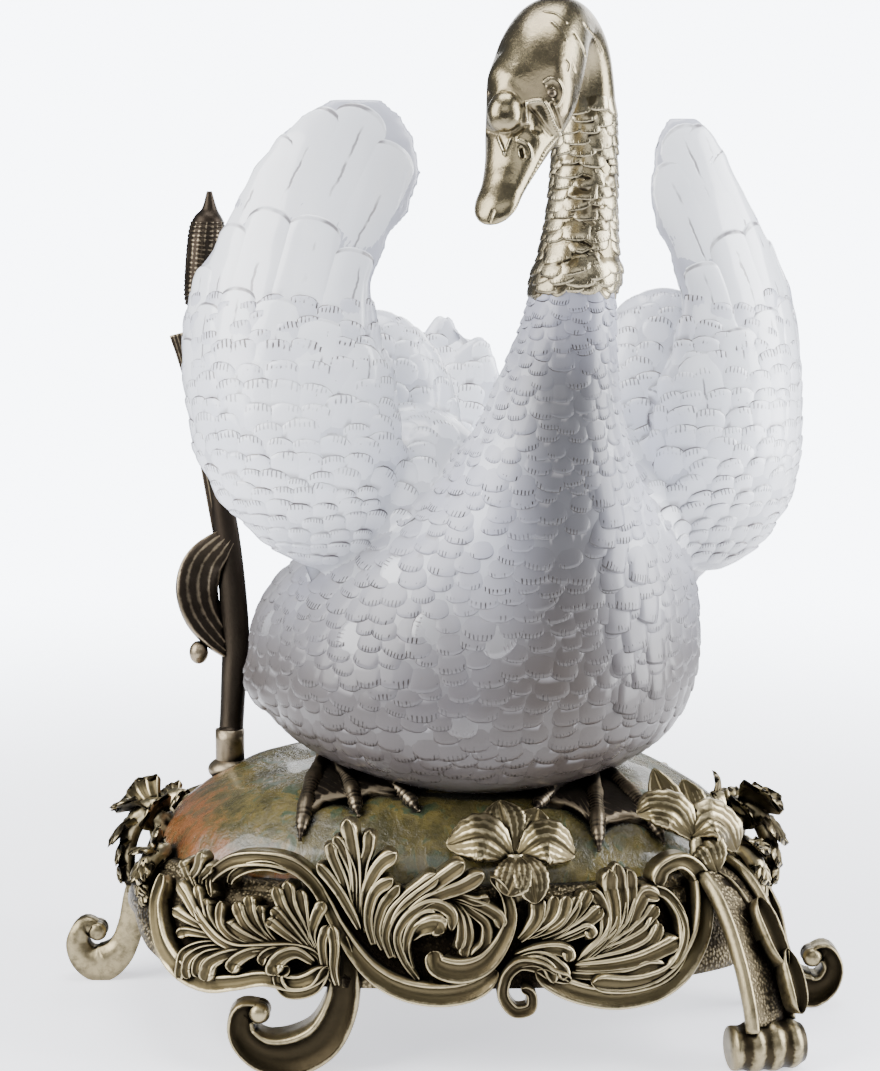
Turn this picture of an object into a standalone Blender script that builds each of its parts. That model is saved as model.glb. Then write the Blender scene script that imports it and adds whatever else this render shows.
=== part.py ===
"""Porcelain swan with a bronze head, standing on a glazed mound in a rococo bronze mount.

Metres, +Z up. Every piece is drawn round the middle of the mount. At the end the whole is moved
so that the origin lies on the ground under the middle of its bounding box. The front faces -Y.
Free forms (the swan, the leaves and the flowers) are lofted from rings and fused into one skin.
"""

import math

import bmesh
import bpy
from mathutils import Matrix, Vector

# Driving dimensions of the mount and the mound
MOUNT_HALF_WIDTH = 0.136
MOUNT_HALF_DEPTH = 0.098
RING_WALL = 0.005
RING_TOP = 0.076
FLOOR_UNDERSIDE = 0.050
FLOOR_THICKNESS = 0.004
APRON_FLARE = 0.014
APRON_THICKNESS = 0.0045
MOUND_HEIGHT = 0.058
MOUND_SHOULDER = 0.018
FIT_GAP = 0.0003
PLAN_POWER = 2.6

# Driving dimensions of the swan
SWAN_HEIGHT = 0.297
NECK_JOINT_SHARE = 0.754
SWAN_TURN = math.radians(20.0)
WING_TURN = math.radians(16.0)
ANKLE_RADIUS = 0.0055
ANKLE_SOCKET_DEPTH = 0.012

# Skin resolution of the fused castings, and about how many faces each keeps
SWAN_VOXEL = 0.0028
SWAN_FACES = 2650
SWAN_SMOOTHING_COUNT = 2
HEAD_VOXEL = 0.0015
HEAD_FACES = 840
MOUNT_VOXEL = 0.0019
MOUNT_FACES = 3350
FOOT_VOXEL = 0.0012
FOOT_FACES = 330
REED_VOXEL = 0.0014
REED_FACES = 560

MOUND_FOOT = FLOOR_UNDERSIDE + FLOOR_THICKNESS + FIT_GAP
MOUND_TOP = MOUND_FOOT + MOUND_HEIGHT
SWAN_SEAT = MOUND_TOP + FIT_GAP
NECK_JOINT = SWAN_SEAT + NECK_JOINT_SHARE * SWAN_HEIGHT
SHARE = SWAN_HEIGHT / 0.297


def clear_scene():
    for obj in list(bpy.data.objects):
        bpy.data.objects.remove(obj)


def make_material(name, colour, roughness, metallic):
    material = bpy.data.materials.new(name)
    material.use_nodes = True
    shader = material.node_tree.nodes["Principled BSDF"]
    shader.inputs["Base Color"].default_value = (*colour, 1.0)
    shader.inputs["Roughness"].default_value = roughness
    shader.inputs["Metallic"].default_value = metallic
    return material


def blend_between(rows, key):
    """The values of a table of (key, values...) at one key, on a smooth curve through the rows."""
    if key <= rows[0][0]:
        return rows[0][1:]
    if key >= rows[-1][0]:
        return rows[-1][1:]
    i = max(n for n in range(len(rows) - 1) if rows[n][0] <= key)
    share = (key - rows[i][0]) / (rows[i + 1][0] - rows[i][0])
    share = share * share * (3 - 2 * share)
    return tuple(a + (b - a) * share for a, b in zip(rows[i][1:], rows[i + 1][1:]))


def smooth_through(points, count):
    """That many evenly spaced stations on a Catmull-Rom curve through the points, of any dimension."""
    ends = [tuple(2 * a - b for a, b in zip(points[0], points[1]))]
    tail = [tuple(2 * a - b for a, b in zip(points[-1], points[-2]))]
    run = ends + [tuple(p) for p in points] + tail
    stations = []
    for n in range(count):
        where = n * (len(points) - 1) / (count - 1)
        i = min(int(where), len(points) - 2)
        t = where - i
        a, b, c, d = run[i : i + 4]
        stations.append(
            tuple(
                0.5
                * (
                    2 * q
                    + (r - p) * t
                    + (2 * p - 5 * q + 4 * r - s) * t**2
                    + (3 * q - p - 3 * r + s) * t**3
                )
                for p, q, r, s in zip(a, b, c, d)
            )
        )
    return stations


def add_loft(bm, rings):
    """Closes a run of equal rings into one shell, with a flat cap at each end."""
    rows = [[bm.verts.new(p) for p in ring] for ring in rings]
    count = len(rows[0])
    faces = []
    for low, high in zip(rows, rows[1:]):
        for i in range(count):
            j = (i + 1) % count
            faces.append(bm.faces.new((low[i], low[j], high[j], high[i])))
    faces.append(bm.faces.new(list(reversed(rows[0]))))
    faces.append(bm.faces.new(rows[-1]))
    bmesh.ops.recalc_face_normals(bm, faces=faces)


def oval_ring(centre, across, along, sides, power=2.0):
    """A closed ring on a superellipse with these two half axes."""
    ring = []
    for n in range(sides):
        angle = 2 * math.pi * n / sides
        c, s = math.cos(angle), math.sin(angle)
        ring.append(
            centre
            + across * math.copysign(abs(c) ** (2 / power), c)
            + along * math.copysign(abs(s) ** (2 / power), s)
        )
    return ring


def add_ellipsoid(bm, centre, axes, sides=20, rows=11):
    """An ellipsoid with three given half axes."""
    rings = []
    for n in range(rows):
        angle = math.pi * (n + 0.5) / rows
        middle = centre - axes[2] * math.cos(angle)
        rings.append(oval_ring(middle, axes[0] * math.sin(angle), axes[1] * math.sin(angle), sides))
    add_loft(bm, rings)


def add_strip(bm, path, face_normals, widths, depths, sides=8, power=2.0):
    """A tapering bar along a path. Its width lies square to the path and the face normal."""
    rings = []
    last = len(path) - 1
    for n, point in enumerate(path):
        ahead = path[min(n + 1, last)] - path[max(n - 1, 0)]
        across = ahead.cross(face_normals[n]).normalized()
        along = across.cross(ahead).normalized()
        rings.append(oval_ring(point, across * widths[n], along * depths[n], sides, power))
    add_loft(bm, rings)


def settled(obj):
    """Works the modifiers into the mesh and drops crumbs that a cutter has cut free."""
    depsgraph = bpy.context.evaluated_depsgraph_get()
    mesh = bpy.data.meshes.new_from_object(obj.evaluated_get(depsgraph))
    obj.modifiers.clear()
    bm = bmesh.new()
    bm.from_mesh(mesh)
    left = set(bm.verts)
    pieces = []
    while left:
        front = [left.pop()]
        piece = list(front)
        while front:
            vert = front.pop()
            for edge in vert.link_edges:
                other = edge.other_vert(vert)
                if other in left:
                    left.remove(other)
                    front.append(other)
                    piece.append(other)
        pieces.append(piece)
    largest = max(pieces, key=len)
    crumbs = [v for piece in pieces if piece is not largest for v in piece]
    bmesh.ops.delete(bm, geom=crumbs, context="VERTS")
    bm.to_mesh(mesh)
    bm.free()
    obj.data = mesh
    return obj


def fused(name, bm, material, voxel, faces, soften=0):
    """One skin round everything in the mesh, thinned to about this many faces."""
    mesh = bpy.data.meshes.new(name)
    bm.to_mesh(mesh)
    bm.free()
    obj = bpy.data.objects.new(name, mesh)
    bpy.context.scene.collection.objects.link(obj)
    skin = obj.modifiers.new("One skin", "REMESH")
    skin.mode = "VOXEL"
    skin.voxel_size = voxel
    skin.use_smooth_shade = True
    if soften:
        ease = obj.modifiers.new("Eased creases", "SMOOTH")
        ease.iterations = int(soften)
    if material:
        mesh.materials.append(material)
    settled(obj)
    thin = obj.modifiers.new("Fewer faces", "DECIMATE")
    thin.ratio = min(1.0, faces / (2 * len(obj.data.polygons)))
    return settled(obj)


def solid(name, bm, material=None):
    mesh = bpy.data.meshes.new(name)
    bm.to_mesh(mesh)
    bm.free()
    if material:
        mesh.materials.append(material)
    obj = bpy.data.objects.new(name, mesh)
    bpy.context.scene.collection.objects.link(obj)
    return obj


def as_cutter(obj):
    obj.hide_render = True
    obj.display_type = "WIRE"
    return obj


def cut(obj, cutter, name, solver="EXACT"):
    modifier = obj.modifiers.new(name, "BOOLEAN")
    modifier.operation = "DIFFERENCE"
    modifier.object = cutter
    modifier.solver = solver
    return modifier


def box_cutter(name, low, high):
    bm = bmesh.new()
    bmesh.ops.create_cube(bm, size=1.0)
    size = Vector(high) - Vector(low)
    bmesh.ops.scale(bm, vec=size, verts=bm.verts)
    bmesh.ops.translate(bm, vec=(Vector(low) + Vector(high)) / 2, verts=bm.verts)
    return as_cutter(solid(name, bm))


def plan_point(angle, half_width, half_depth):
    """A point of the mount's plan outline, in the ground plane. Angle 0 is the right end."""
    c, s = math.cos(angle), math.sin(angle)
    return Vector(
        (
            half_width * math.copysign(abs(c) ** (2 / PLAN_POWER), c),
            half_depth * math.copysign(abs(s) ** (2 / PLAN_POWER), s),
            0,
        )
    )


# The glazed mound

MOUND_HALF_WIDTH = MOUNT_HALF_WIDTH - RING_WALL - FIT_GAP
MOUND_HALF_DEPTH = MOUNT_HALF_DEPTH - RING_WALL - FIT_GAP
MOUND_LUMPS = 0.0012


def mound_height(share, angle):
    """Height of the mound's skin above the ground, share 0 at its middle and 1 at its rim."""
    dome = MOUND_SHOULDER + (MOUND_HEIGHT - MOUND_SHOULDER) * 1.06 * max(0.0, 1 - share**2.7) ** 0.5
    lumps = MOUND_LUMPS * math.sin(3 * angle + 1) * math.sin(math.pi * share) * 2
    return MOUND_FOOT + min(MOUND_HEIGHT, dome + lumps)


def mound_mesh(gap, segments=36, rows=7):
    """The mound's closed skin, grown outwards by the gap."""
    bm = bmesh.new()
    turns = [2 * math.pi * n / segments for n in range(segments)]
    foot = [plan_point(turn, MOUND_HALF_WIDTH + gap, MOUND_HALF_DEPTH + gap) for turn in turns]
    rings = [[p + Vector((0, 0, MOUND_FOOT - gap)) for p in foot]]
    for row in range(rows):
        share = math.sin(math.pi / 2 * (1 - row / rows))
        ring = []
        for n in range(segments):
            angle = 2 * math.pi * n / segments
            p = plan_point(angle, (MOUND_HALF_WIDTH + gap) * share, (MOUND_HALF_DEPTH + gap) * share)
            p.z = mound_height(share, angle) + gap
            ring.append(p)
        rings.append(ring)
    add_loft(bm, rings)
    return bm


def on_mound(x, y, lift=0.0):
    """The point of the mound's skin above a place in the plan."""
    share = (
        abs(x / MOUND_HALF_WIDTH) ** PLAN_POWER + abs(y / MOUND_HALF_DEPTH) ** PLAN_POWER
    ) ** (1 / PLAN_POWER)
    share = min(share, 1.0)
    angle = math.atan2(
        math.copysign(abs(y / MOUND_HALF_DEPTH) ** (PLAN_POWER / 2), y),
        math.copysign(abs(x / MOUND_HALF_WIDTH) ** (PLAN_POWER / 2), x),
    )
    return Vector((x, y, mound_height(share, angle) + lift))


def build_mound(material):
    obj = solid("mound", mound_mesh(0.0), material)
    obj.data.shade_smooth()
    obj.data.set_sharp_from_angle(angle=math.radians(50))
    return obj


# The swan

# Height above the seat, centre x and y, half width and half length of the body's level slices
BODY_ROWS = (
    (-0.0045, 0.015, -0.026, 0.036, 0.034),
    (0.000, 0.014, -0.020, 0.053, 0.053),
    (0.007, 0.0125, -0.011, 0.072, 0.073),
    (0.016, 0.0115, -0.004, 0.087, 0.088),
    (0.028, 0.011, 0.002, 0.0965, 0.098),
    (0.044, 0.011, 0.006, 0.101, 0.104),
    (0.061, 0.012, 0.008, 0.100, 0.105),
    (0.078, 0.016, 0.006, 0.094, 0.102),
    (0.092, 0.021, -0.003, 0.084, 0.091),
    (0.105, 0.027, -0.017, 0.070, 0.076),
    (0.120, 0.034, -0.032, 0.054, 0.060),
    (0.136, 0.0395, -0.044, 0.041, 0.047),
    (0.155, 0.0435, -0.053, 0.0318, 0.0365),
    (0.172, 0.0455, -0.058, 0.0265, 0.0290),
    (0.191, 0.049, -0.060, 0.0218, 0.0238),
    (0.207, 0.0515, -0.061, 0.0187, 0.0200),
    (0.224, 0.053, -0.061, 0.0165, 0.0172),
    (0.236, 0.0535, -0.061, 0.0160, 0.0164),
)
BACK_CENTRE = (-0.008, 0.036, 0.068)
BACK_AXES = (0.066, 0.066, 0.056)
FLANK_CENTRE = (-0.058, 0.004, 0.036)
FLANK_AXES = (0.036, 0.055, 0.021)
WING_ORIGIN = Vector((0.026, 0.020))
# Height above the seat, inner and outer share of the wing's chord, thickness
WING_ROWS = (
    (0.089, 0.24, 0.36, 0.006),
    (0.095, 0.11, 0.50, 0.016),
    (0.106, 0.03, 0.64, 0.022),
    (0.124, 0.00, 0.82, 0.027),
    (0.146, 0.00, 0.93, 0.028),
    (0.176, 0.03, 0.99, 0.025),
    (0.192, 0.09, 1.00, 0.021),
    (0.213, 0.13, 0.96, 0.016),
    (0.232, 0.08, 0.83, 0.012),
    (0.246, 0.00, 0.75, 0.010),
    (0.260, -0.03, 0.68, 0.009),
    (0.274, 0.00, 0.58, 0.008),
    (0.285, 0.06, 0.47, 0.007),
    (0.292, 0.14, 0.35, 0.006),
)
# Root share and height, tip share and height, half width, and how far the feather stands out
PRIMARIES = (
    (0.72, 0.236, 0.41, 0.290, 0.0130, -0.0020),
    (0.54, 0.234, 0.26, 0.294, 0.0135, -0.0005),
    (0.38, 0.230, 0.12, 0.288, 0.0135, 0.0010),
    (0.24, 0.222, 0.05, 0.270, 0.0125, 0.0025),
)
SECONDARIES = (
    (0.87, 0.180, 0.80, 0.230, 0.0105, 0.001),
    (0.82, 0.184, 0.70, 0.250, 0.0120, 0.002),
    (0.66, 0.182, 0.50, 0.252, 0.0125, 0.003),
    (0.50, 0.178, 0.32, 0.242, 0.0125, 0.004),
    (0.32, 0.172, 0.20, 0.226, 0.0115, 0.005),
)
COVERTS = (
    (0.84, 0.150, 0.85, 0.203, 0.0095, 0.003),
    (0.78, 0.152, 0.75, 0.219, 0.0105, 0.006),
    (0.63, 0.150, 0.60, 0.216, 0.0110, 0.007),
    (0.48, 0.148, 0.45, 0.206, 0.0115, 0.008),
    (0.32, 0.144, 0.29, 0.196, 0.0115, 0.008),
    (0.17, 0.138, 0.15, 0.184, 0.0105, 0.007),
)
TAIL_TIPS = (
    (-0.076, 0.110, 0.148),
    (-0.056, 0.115, 0.172),
    (-0.029, 0.116, 0.190),
    (-0.002, 0.113, 0.193),
    (0.016, 0.108, 0.183),
)
WING_LIFTS = {-1: 0.002, 1: -0.005}
WING_SPREADS = {-1: 0.060, 1: 0.050}
WING_CHORDS = {-1: 0.086, 1: 0.084}
# The way each wing leans as it rises, forwards and sideways
WING_LEANS = {-1: (0.864, 0.503), 1: (0.90, 0.0)}
# How far the top of each wing narrows, from its outer and its inner edge
WING_TAPERS = {-1: (0.0, 0.0), 1: (0.36, 0.05)}
# Centre and half axes of the shoulder feathers behind each wing
SCAPULARS = {
    -1: ((-0.034, 0.000, 0.136), (0.041, 0.027, 0.066)),
    1: ((0.097, 0.012, 0.142), (0.040, 0.027, 0.070)),
}


def turned(forward, sideways, turn):
    """A plan offset given along and across an axis that is turned from -Y towards +X."""
    return Vector(
        (
            forward * math.sin(turn) + sideways * math.cos(turn),
            -forward * math.cos(turn) + sideways * math.sin(turn),
        )
    )


def at_swan(x, y, height):
    """A place given from the middle of the mount and the swan's seat."""
    return Vector((x * SHARE, y * SHARE, SWAN_SEAT + height * SHARE))


def ball(bm, centre, axes, sides=20, rows=11):
    """An upright ellipsoid on the swan, from a centre and three half axes."""
    reach = [axis * SHARE for axis in axes]
    along = [Vector((reach[0], 0, 0)), Vector((0, reach[1], 0)), Vector((0, 0, reach[2]))]
    add_ellipsoid(bm, at_swan(*centre), along, sides, rows)


def body_rings(sides=32, count=40):
    """Level slices from the belly to the neck joint. The lower ones are turned with the swan."""
    rings = []
    for height, x, y, half_width, half_length in smooth_through(BODY_ROWS, count):
        turn = SWAN_TURN * max(0.0, min(1.0, (0.15 - height) / 0.07))
        across = turned(0, half_width * SHARE, turn)
        along = turned(-half_length * SHARE, 0, turn)
        axes = [Vector((v.x, v.y, 0)) for v in (across, along)]
        rings.append(oval_ring(at_swan(x, y, height), axes[0], axes[1], sides, 2.1))
    return rings


def wing_point(side, chord_share, height, stand_out=0.0):
    """A point on a raised wing. Side is -1 for the wing at -X; stand_out is along the outer face's normal."""
    top = min(1.0, max(0.0, (height - 0.205) / 0.06))
    outer_cut, inner_cut = WING_TAPERS[side]
    chord_share = chord_share * (1 - top * (outer_cut + inner_cut)) + inner_cut * top
    forward, sideways = 0.050 - 0.050 * chord_share, WING_SPREADS[side] + WING_CHORDS[side] * chord_share
    middle = 0.143
    if height > middle:
        lean = 0.010 - 0.034 * ((height - middle) / 0.155) ** 2
    else:
        lean = 0.010 - 0.018 * ((middle - height) / 0.052) ** 2
    bulge = 0.020 * 4 * chord_share * (1 - chord_share) + stand_out
    forward += 0.864 * bulge + WING_LEANS[side][0] * lean
    sideways += 0.503 * bulge + WING_LEANS[side][1] * lean
    plan = (WING_ORIGIN + turned(forward, side * sideways, WING_TURN)) * SHARE
    return Vector((plan.x, plan.y, SWAN_SEAT + (height + WING_LIFTS[side]) * SHARE))


def wing_normal(side, chord_share, height):
    """The outer face's normal, from three near points."""
    step = 0.01
    along = wing_point(side, chord_share + step, height) - wing_point(side, chord_share - step, height)
    up = wing_point(side, chord_share, height + 0.002) - wing_point(side, chord_share, height - 0.002)
    return side * up.cross(along).normalized() * -1


def wing_core_rings(side, sides=28, count=20):
    """The wing's thick middle, as level slices that follow the chord's curve."""
    rings = []
    low, high = WING_ROWS[0][0], WING_ROWS[-1][0]
    for n in range(count):
        height = low + (high - low) * n / (count - 1)
        inner, outer, thickness = blend_between(WING_ROWS, height)
        ring = []
        for k in range(sides):
            angle = 2 * math.pi * k / sides
            c, s = math.cos(angle), math.sin(angle)
            share = (inner + outer) / 2 + (outer - inner) / 2 * math.copysign(abs(c) ** 0.8, c)
            ring.append(wing_point(side, share, height, thickness / 2 * math.copysign(abs(s) ** 0.8, s)))
        rings.append(ring)
    return rings


def add_feather(bm, start, end, normal_at, half_width, thickness, rows=7, sides=8):
    """A flat feather with a round tip. start, end: parameters that normal_at turns into point and normal."""
    path, normals, widths, depths = [], [], [], []
    for n in range(rows):
        t = n / (rows - 1)
        where = tuple(a + (b - a) * t for a, b in zip(start, end))
        point, normal = normal_at(*where)
        path.append(point)
        normals.append(normal)
        swell = 0.55 + 0.45 * math.sin(math.pi * min(1.0, t * 1.25) / 2)
        tip = math.sqrt(max(0.0, 1 - max(0.0, (t - 0.6) / 0.4) ** 2.4))
        widths.append(half_width * max(0.18, swell * tip) * SHARE)
        depths.append(thickness * max(0.35, tip**0.5) * SHARE)
    add_strip(bm, path, normals, widths, depths, sides)


def add_wing(bm, side):
    add_loft(bm, wing_core_rings(side))

    def on_wing(share, height, stand_out):
        return wing_point(side, share, height, stand_out), wing_normal(side, share, height)

    for rows, thickness in ((PRIMARIES, 0.0048), (SECONDARIES, 0.0062), (COVERTS, 0.0085)):
        for root_share, root_height, tip_share, tip_height, half_width, out in rows:
            add_feather(
                bm,
                (root_share, root_height, out),
                (tip_share, tip_height, out + 0.001),
                on_wing,
                half_width,
                thickness,
            )
    shoulder = WING_ORIGIN + turned(0.026, side * (WING_SPREADS[side] - 0.008), WING_TURN)
    ball(bm, (shoulder.x, shoulder.y, 0.112 + WING_LIFTS[side]), (0.042, 0.042, 0.046))
    ball(bm, *SCAPULARS[side])


def add_tail(bm):
    """The raised fan of tail feathers behind the back."""
    root = Vector((-0.014, 0.078, 0.085))
    for tip in TAIL_TIPS:
        middle = (root + Vector(tip)) / 2 + Vector((0, 0.012, -0.006))
        rows = smooth_through((tuple(root), tuple(middle), tip), 8)
        path = [Vector(p) * SHARE + Vector((0, 0, SWAN_SEAT)) for p in rows]
        widths, depths = [], []
        for n in range(len(path)):
            t = n / (len(path) - 1)
            tip_round = math.sqrt(max(0.0, 1 - max(0.0, (t - 0.65) / 0.35) ** 2.4))
            widths.append(0.0195 * SHARE * max(0.2, (0.7 + 0.3 * t) * tip_round))
            depths.append(0.007 * SHARE * max(0.35, 1.35 - t))
        add_strip(bm, path, [Vector((0, 1, 0.25))] * len(path), widths, depths, 10)


def build_swan(material):
    bm = bmesh.new()
    add_loft(bm, body_rings())
    ball(bm, BACK_CENTRE, BACK_AXES, 24, 13)
    ball(bm, FLANK_CENTRE, FLANK_AXES)
    for side in (-1, 1):
        add_wing(bm, side)
    add_tail(bm)
    obj = fused("swan", bm, material, SWAN_VOXEL, SWAN_FACES, SWAN_SMOOTHING_COUNT)
    cut(obj, bpy.data.objects["mound_seat_cutter"], "Sits on the mound")
    for name in ("foot_left_room", "foot_right_room"):
        cut(obj, bpy.data.objects[name], "Room for a foot")
    low = Vector((0.053 * SHARE, -0.061 * SHARE, NECK_JOINT))
    half = 0.022 * SHARE
    collar = box_cutter("neck_top_cutter", low - Vector((half, half, 0)), low + Vector((half, half, 0.03)))
    cut(obj, collar, "Flat neck top")
    return settled(obj)


# The bronze head and upper neck

# Centre x, y and height above the seat, then half width and half depth of the neck, skull and bill
HEAD_ROWS = (
    (0.0535, -0.061, 0.217, 0.0160, 0.0166),
    (0.0545, -0.060, 0.228, 0.0155, 0.0160),
    (0.0562, -0.056, 0.248, 0.0146, 0.0150),
    (0.0572, -0.053, 0.272, 0.0136, 0.0140),
    (0.0565, -0.053, 0.294, 0.0132, 0.0136),
    (0.0535, -0.058, 0.311, 0.0134, 0.0138),
    (0.0475, -0.069, 0.3195, 0.0142, 0.0140),
    (0.0415, -0.081, 0.3175, 0.0165, 0.0160),
    (0.0365, -0.092, 0.306, 0.0185, 0.0178),
    (0.0325, -0.100, 0.291, 0.0180, 0.0165),
    (0.0280, -0.107, 0.277, 0.0145, 0.0125),
    (0.0245, -0.113, 0.266, 0.0112, 0.0085),
    (0.0210, -0.119, 0.2565, 0.0092, 0.0058),
    (0.0180, -0.124, 0.2495, 0.0090, 0.0046),
    (0.0165, -0.1265, 0.2455, 0.0066, 0.0034),
)
HEAD_LOOK = Vector((-0.42, -0.91, 0.0))
KNOB = (0.0220, -0.1155, 0.2855)


def head_rings(sides=20, count=40):
    """The head's rings, square to a line that goes up the neck, over the crown and down the bill."""
    rows = smooth_through(HEAD_ROWS, count)
    points = [Vector(r[:3]) * SHARE + Vector((0, 0, SWAN_SEAT)) for r in rows]
    side = HEAD_LOOK.cross(Vector((0, 0, 1))).normalized()
    rings = []
    for n, row in enumerate(rows):
        ahead = points[min(n + 1, count - 1)] - points[max(n - 1, 0)]
        across = (side - ahead * side.dot(ahead) / ahead.length_squared).normalized()
        along = across.cross(ahead).normalized()
        rings.append(oval_ring(points[n], across * row[3] * SHARE, along * row[4] * SHARE, sides, 2.1))
    return rings


def build_head(material):
    bm = bmesh.new()
    add_loft(bm, head_rings())
    place = Vector(KNOB) * SHARE + Vector((0, 0, SWAN_SEAT))
    side = HEAD_LOOK.cross(Vector((0, 0, 1))).normalized()
    half_axes = [side * 0.0095 * SHARE, HEAD_LOOK * 0.0075 * SHARE, Vector((0, 0, 0.009 * SHARE))]
    add_ellipsoid(bm, place, half_axes, 14, 9)
    obj = fused("head_and_neck", bm, material, HEAD_VOXEL, HEAD_FACES)
    reach = 0.035 * SHARE
    low = Vector((0.053 * SHARE, -0.061 * SHARE, NECK_JOINT + FIT_GAP))
    high = low + Vector((reach, reach, 0))
    cutter = box_cutter("neck_foot_cutter", low - Vector((reach, reach, 0.04)), high)
    cut(obj, cutter, "Flat neck foot")
    return settled(obj)


# The webbed feet

# Ankle place, then the tips of the three toes, in the plan
FEET = {
    "foot_left": ((-0.054, -0.010), ((-0.064, -0.080), (-0.039, -0.0755), (-0.013, -0.0745))),
    "foot_right": ((0.063, -0.020), ((0.037, -0.070), (0.064, -0.0825), (0.093, -0.070))),
}
TOE_RADIUS = 0.0036
WEB_THICKNESS = 0.0034
FOOT_ROOM = 0.0008


def foot_mesh(name, grow):
    """A webbed foot on the mound: an ankle post, three toes, and the web between them."""
    (x, y), tips = FEET[name]
    bm = bmesh.new()
    ankle = on_mound(x, y)
    bottom = ankle.z - 0.004
    top = SWAN_SEAT + ANKLE_SOCKET_DEPTH + grow
    path = [Vector((x, y, bottom + (top - bottom) * n / 4)) for n in range(5)]
    radii = [ANKLE_RADIUS * size + grow for size in (1.35, 1.1, 1.0, 1.0, 1.0)]
    add_strip(bm, path, [Vector((0, -1, 0))] * 5, radii, radii, 14)
    rays = []
    for tip_x, tip_y in tips:
        ray = []
        for n in range(9):
            t = n / 8
            lift = TOE_RADIUS * (0.6 + 0.5 * (1 - t))
            ray.append(on_mound(x + (tip_x - x) * t, y + (tip_y - y) * t, lift))
        rays.append(ray)
        radii = [TOE_RADIUS * (1.05 - 0.03 * n) + grow for n in range(8)] + [TOE_RADIUS * 0.45 + grow]
        add_strip(bm, ray, [Vector((0, 0, 1))] * 9, radii, radii, 8)
    for left, right in zip(rays, rays[1:]):
        rings = []
        for n in range(8):
            row = []
            for k in range(5):
                share = k / 4
                sag = 1 - 0.10 * math.sin(math.pi * share) * n / 7
                flat = left[n].lerp(right[n], share)
                px = x + (flat.x - x) * sag
                py = y + (flat.y - y) * sag
                row.append(on_mound(px, py, WEB_THICKNESS * 0.62))
            thick = Vector((0, 0, WEB_THICKNESS / 2 + grow))
            rings.append([p + thick for p in row] + [p - thick * 1.6 for p in reversed(row)])
        add_loft(bm, rings)
    return bm


def build_foot(name, material):
    obj = fused(name, foot_mesh(name, 0.0), material, FOOT_VOXEL, FOOT_FACES)
    cut(obj, bpy.data.objects["mound_seat_cutter"], "Sits on the mound")
    return settled(obj)


def build_foot_room(name):
    """The room that a foot takes in the swan's belly, with play all round."""
    obj = fused(name + "_room", foot_mesh(name, FOOT_ROOM), None, FOOT_VOXEL, FOOT_FACES)
    return as_cutter(obj)


# The rococo mount. Its front is drawn in a flat frame, x to the right and z up, in millimetres
# at the reference size, and wrapped on the apron. The back is the same casting turned half round.

PANEL_SHARE = MOUNT_HALF_WIDTH / 136.0
RISE_SHARE = FLOOR_UNDERSIDE / 50.0
APRON_DROP = 0.034


def apron_flare(z):
    return APRON_FLARE * min(1.0, max(0.0, (RING_TOP - z) / APRON_DROP))


def on_apron(x, z, out=0.0):
    """A point of the mount's front face from panel millimetres, and its outward normal."""
    height = z * RISE_SHARE
    flare = apron_flare(height)
    half_width, half_depth = MOUNT_HALF_WIDTH + flare, MOUNT_HALF_DEPTH + flare
    across = max(-0.985, min(0.985, x * PANEL_SHARE / half_width))
    depth = half_depth * (1 - abs(across) ** PLAN_POWER) ** (1 / PLAN_POWER)
    slope_x = math.copysign(abs(across) ** (PLAN_POWER - 1) / half_width, across)
    slope_y = -((depth / half_depth) ** (PLAN_POWER - 1)) / half_depth
    normal = Vector((slope_x, slope_y, 0)).normalized()
    beyond = x * PANEL_SHARE - across * half_width
    return Vector((across * half_width + beyond, -depth, height)) + normal * out, normal


def panel_run(points, count, out):
    """Stations on the apron along a curve through panel points, with their normals."""
    path, normals = [], []
    for x, z in smooth_through(points, count):
        place, normal = on_apron(x, z, out)
        path.append(place)
        normals.append(normal)
    return path, normals


def taper(values, count):
    """That many widths, evenly spaced through a few given in panel millimetres."""
    return [v[0] * PANEL_SHARE for v in smooth_through([(v,) for v in values], count)]


def add_leaf(bm, spine, normals, reach, lobes, lean, rib=0.0022, lift=0.004, fullness=0.24):
    """An acanthus leaf: a rib along the spine and curved lobes beside it that get shorter to the tip."""
    last = len(spine) - 1
    rib_widths = [rib * (1.15 - 0.75 * n / last) for n in range(last + 1)]
    add_strip(bm, spine, normals, rib_widths, [w * 0.9 for w in rib_widths], 8)
    for side in (-1, 1):
        for n in range(lobes):
            t = (n + 0.3) / lobes
            i = min(last - 1, int(t * last))
            share = t * last - i
            root = spine[i].lerp(spine[i + 1], share)
            ahead = (spine[i + 1] - spine[i]).normalized()
            normal = normals[i].lerp(normals[i + 1], share).normalized()
            across = ahead.cross(normal).normalized() * side
            swell = 0.62 + 0.62 * math.sin(math.pi * min(1.0, 0.15 + 0.9 * t))
            size = reach * swell * (1.05 - 0.55 * t)
            path = []
            for k in range(7):
                s = k / 6
                bend = math.radians(lean) * (0.35 + 0.9 * s)
                step = across * math.cos(bend) + ahead * math.sin(bend)
                path.append(root + step * size * s + normal * lift * math.sin(math.pi * s * 0.9))
            widths = [size * fullness * w for w in (0.55, 0.85, 1.0, 1.0, 0.85, 0.6, 0.22)]
            depths = [max(0.0014, min(0.0030, w * 0.7)) for w in widths]
            add_strip(bm, path, [normal] * 7, widths, depths, 8)


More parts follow.
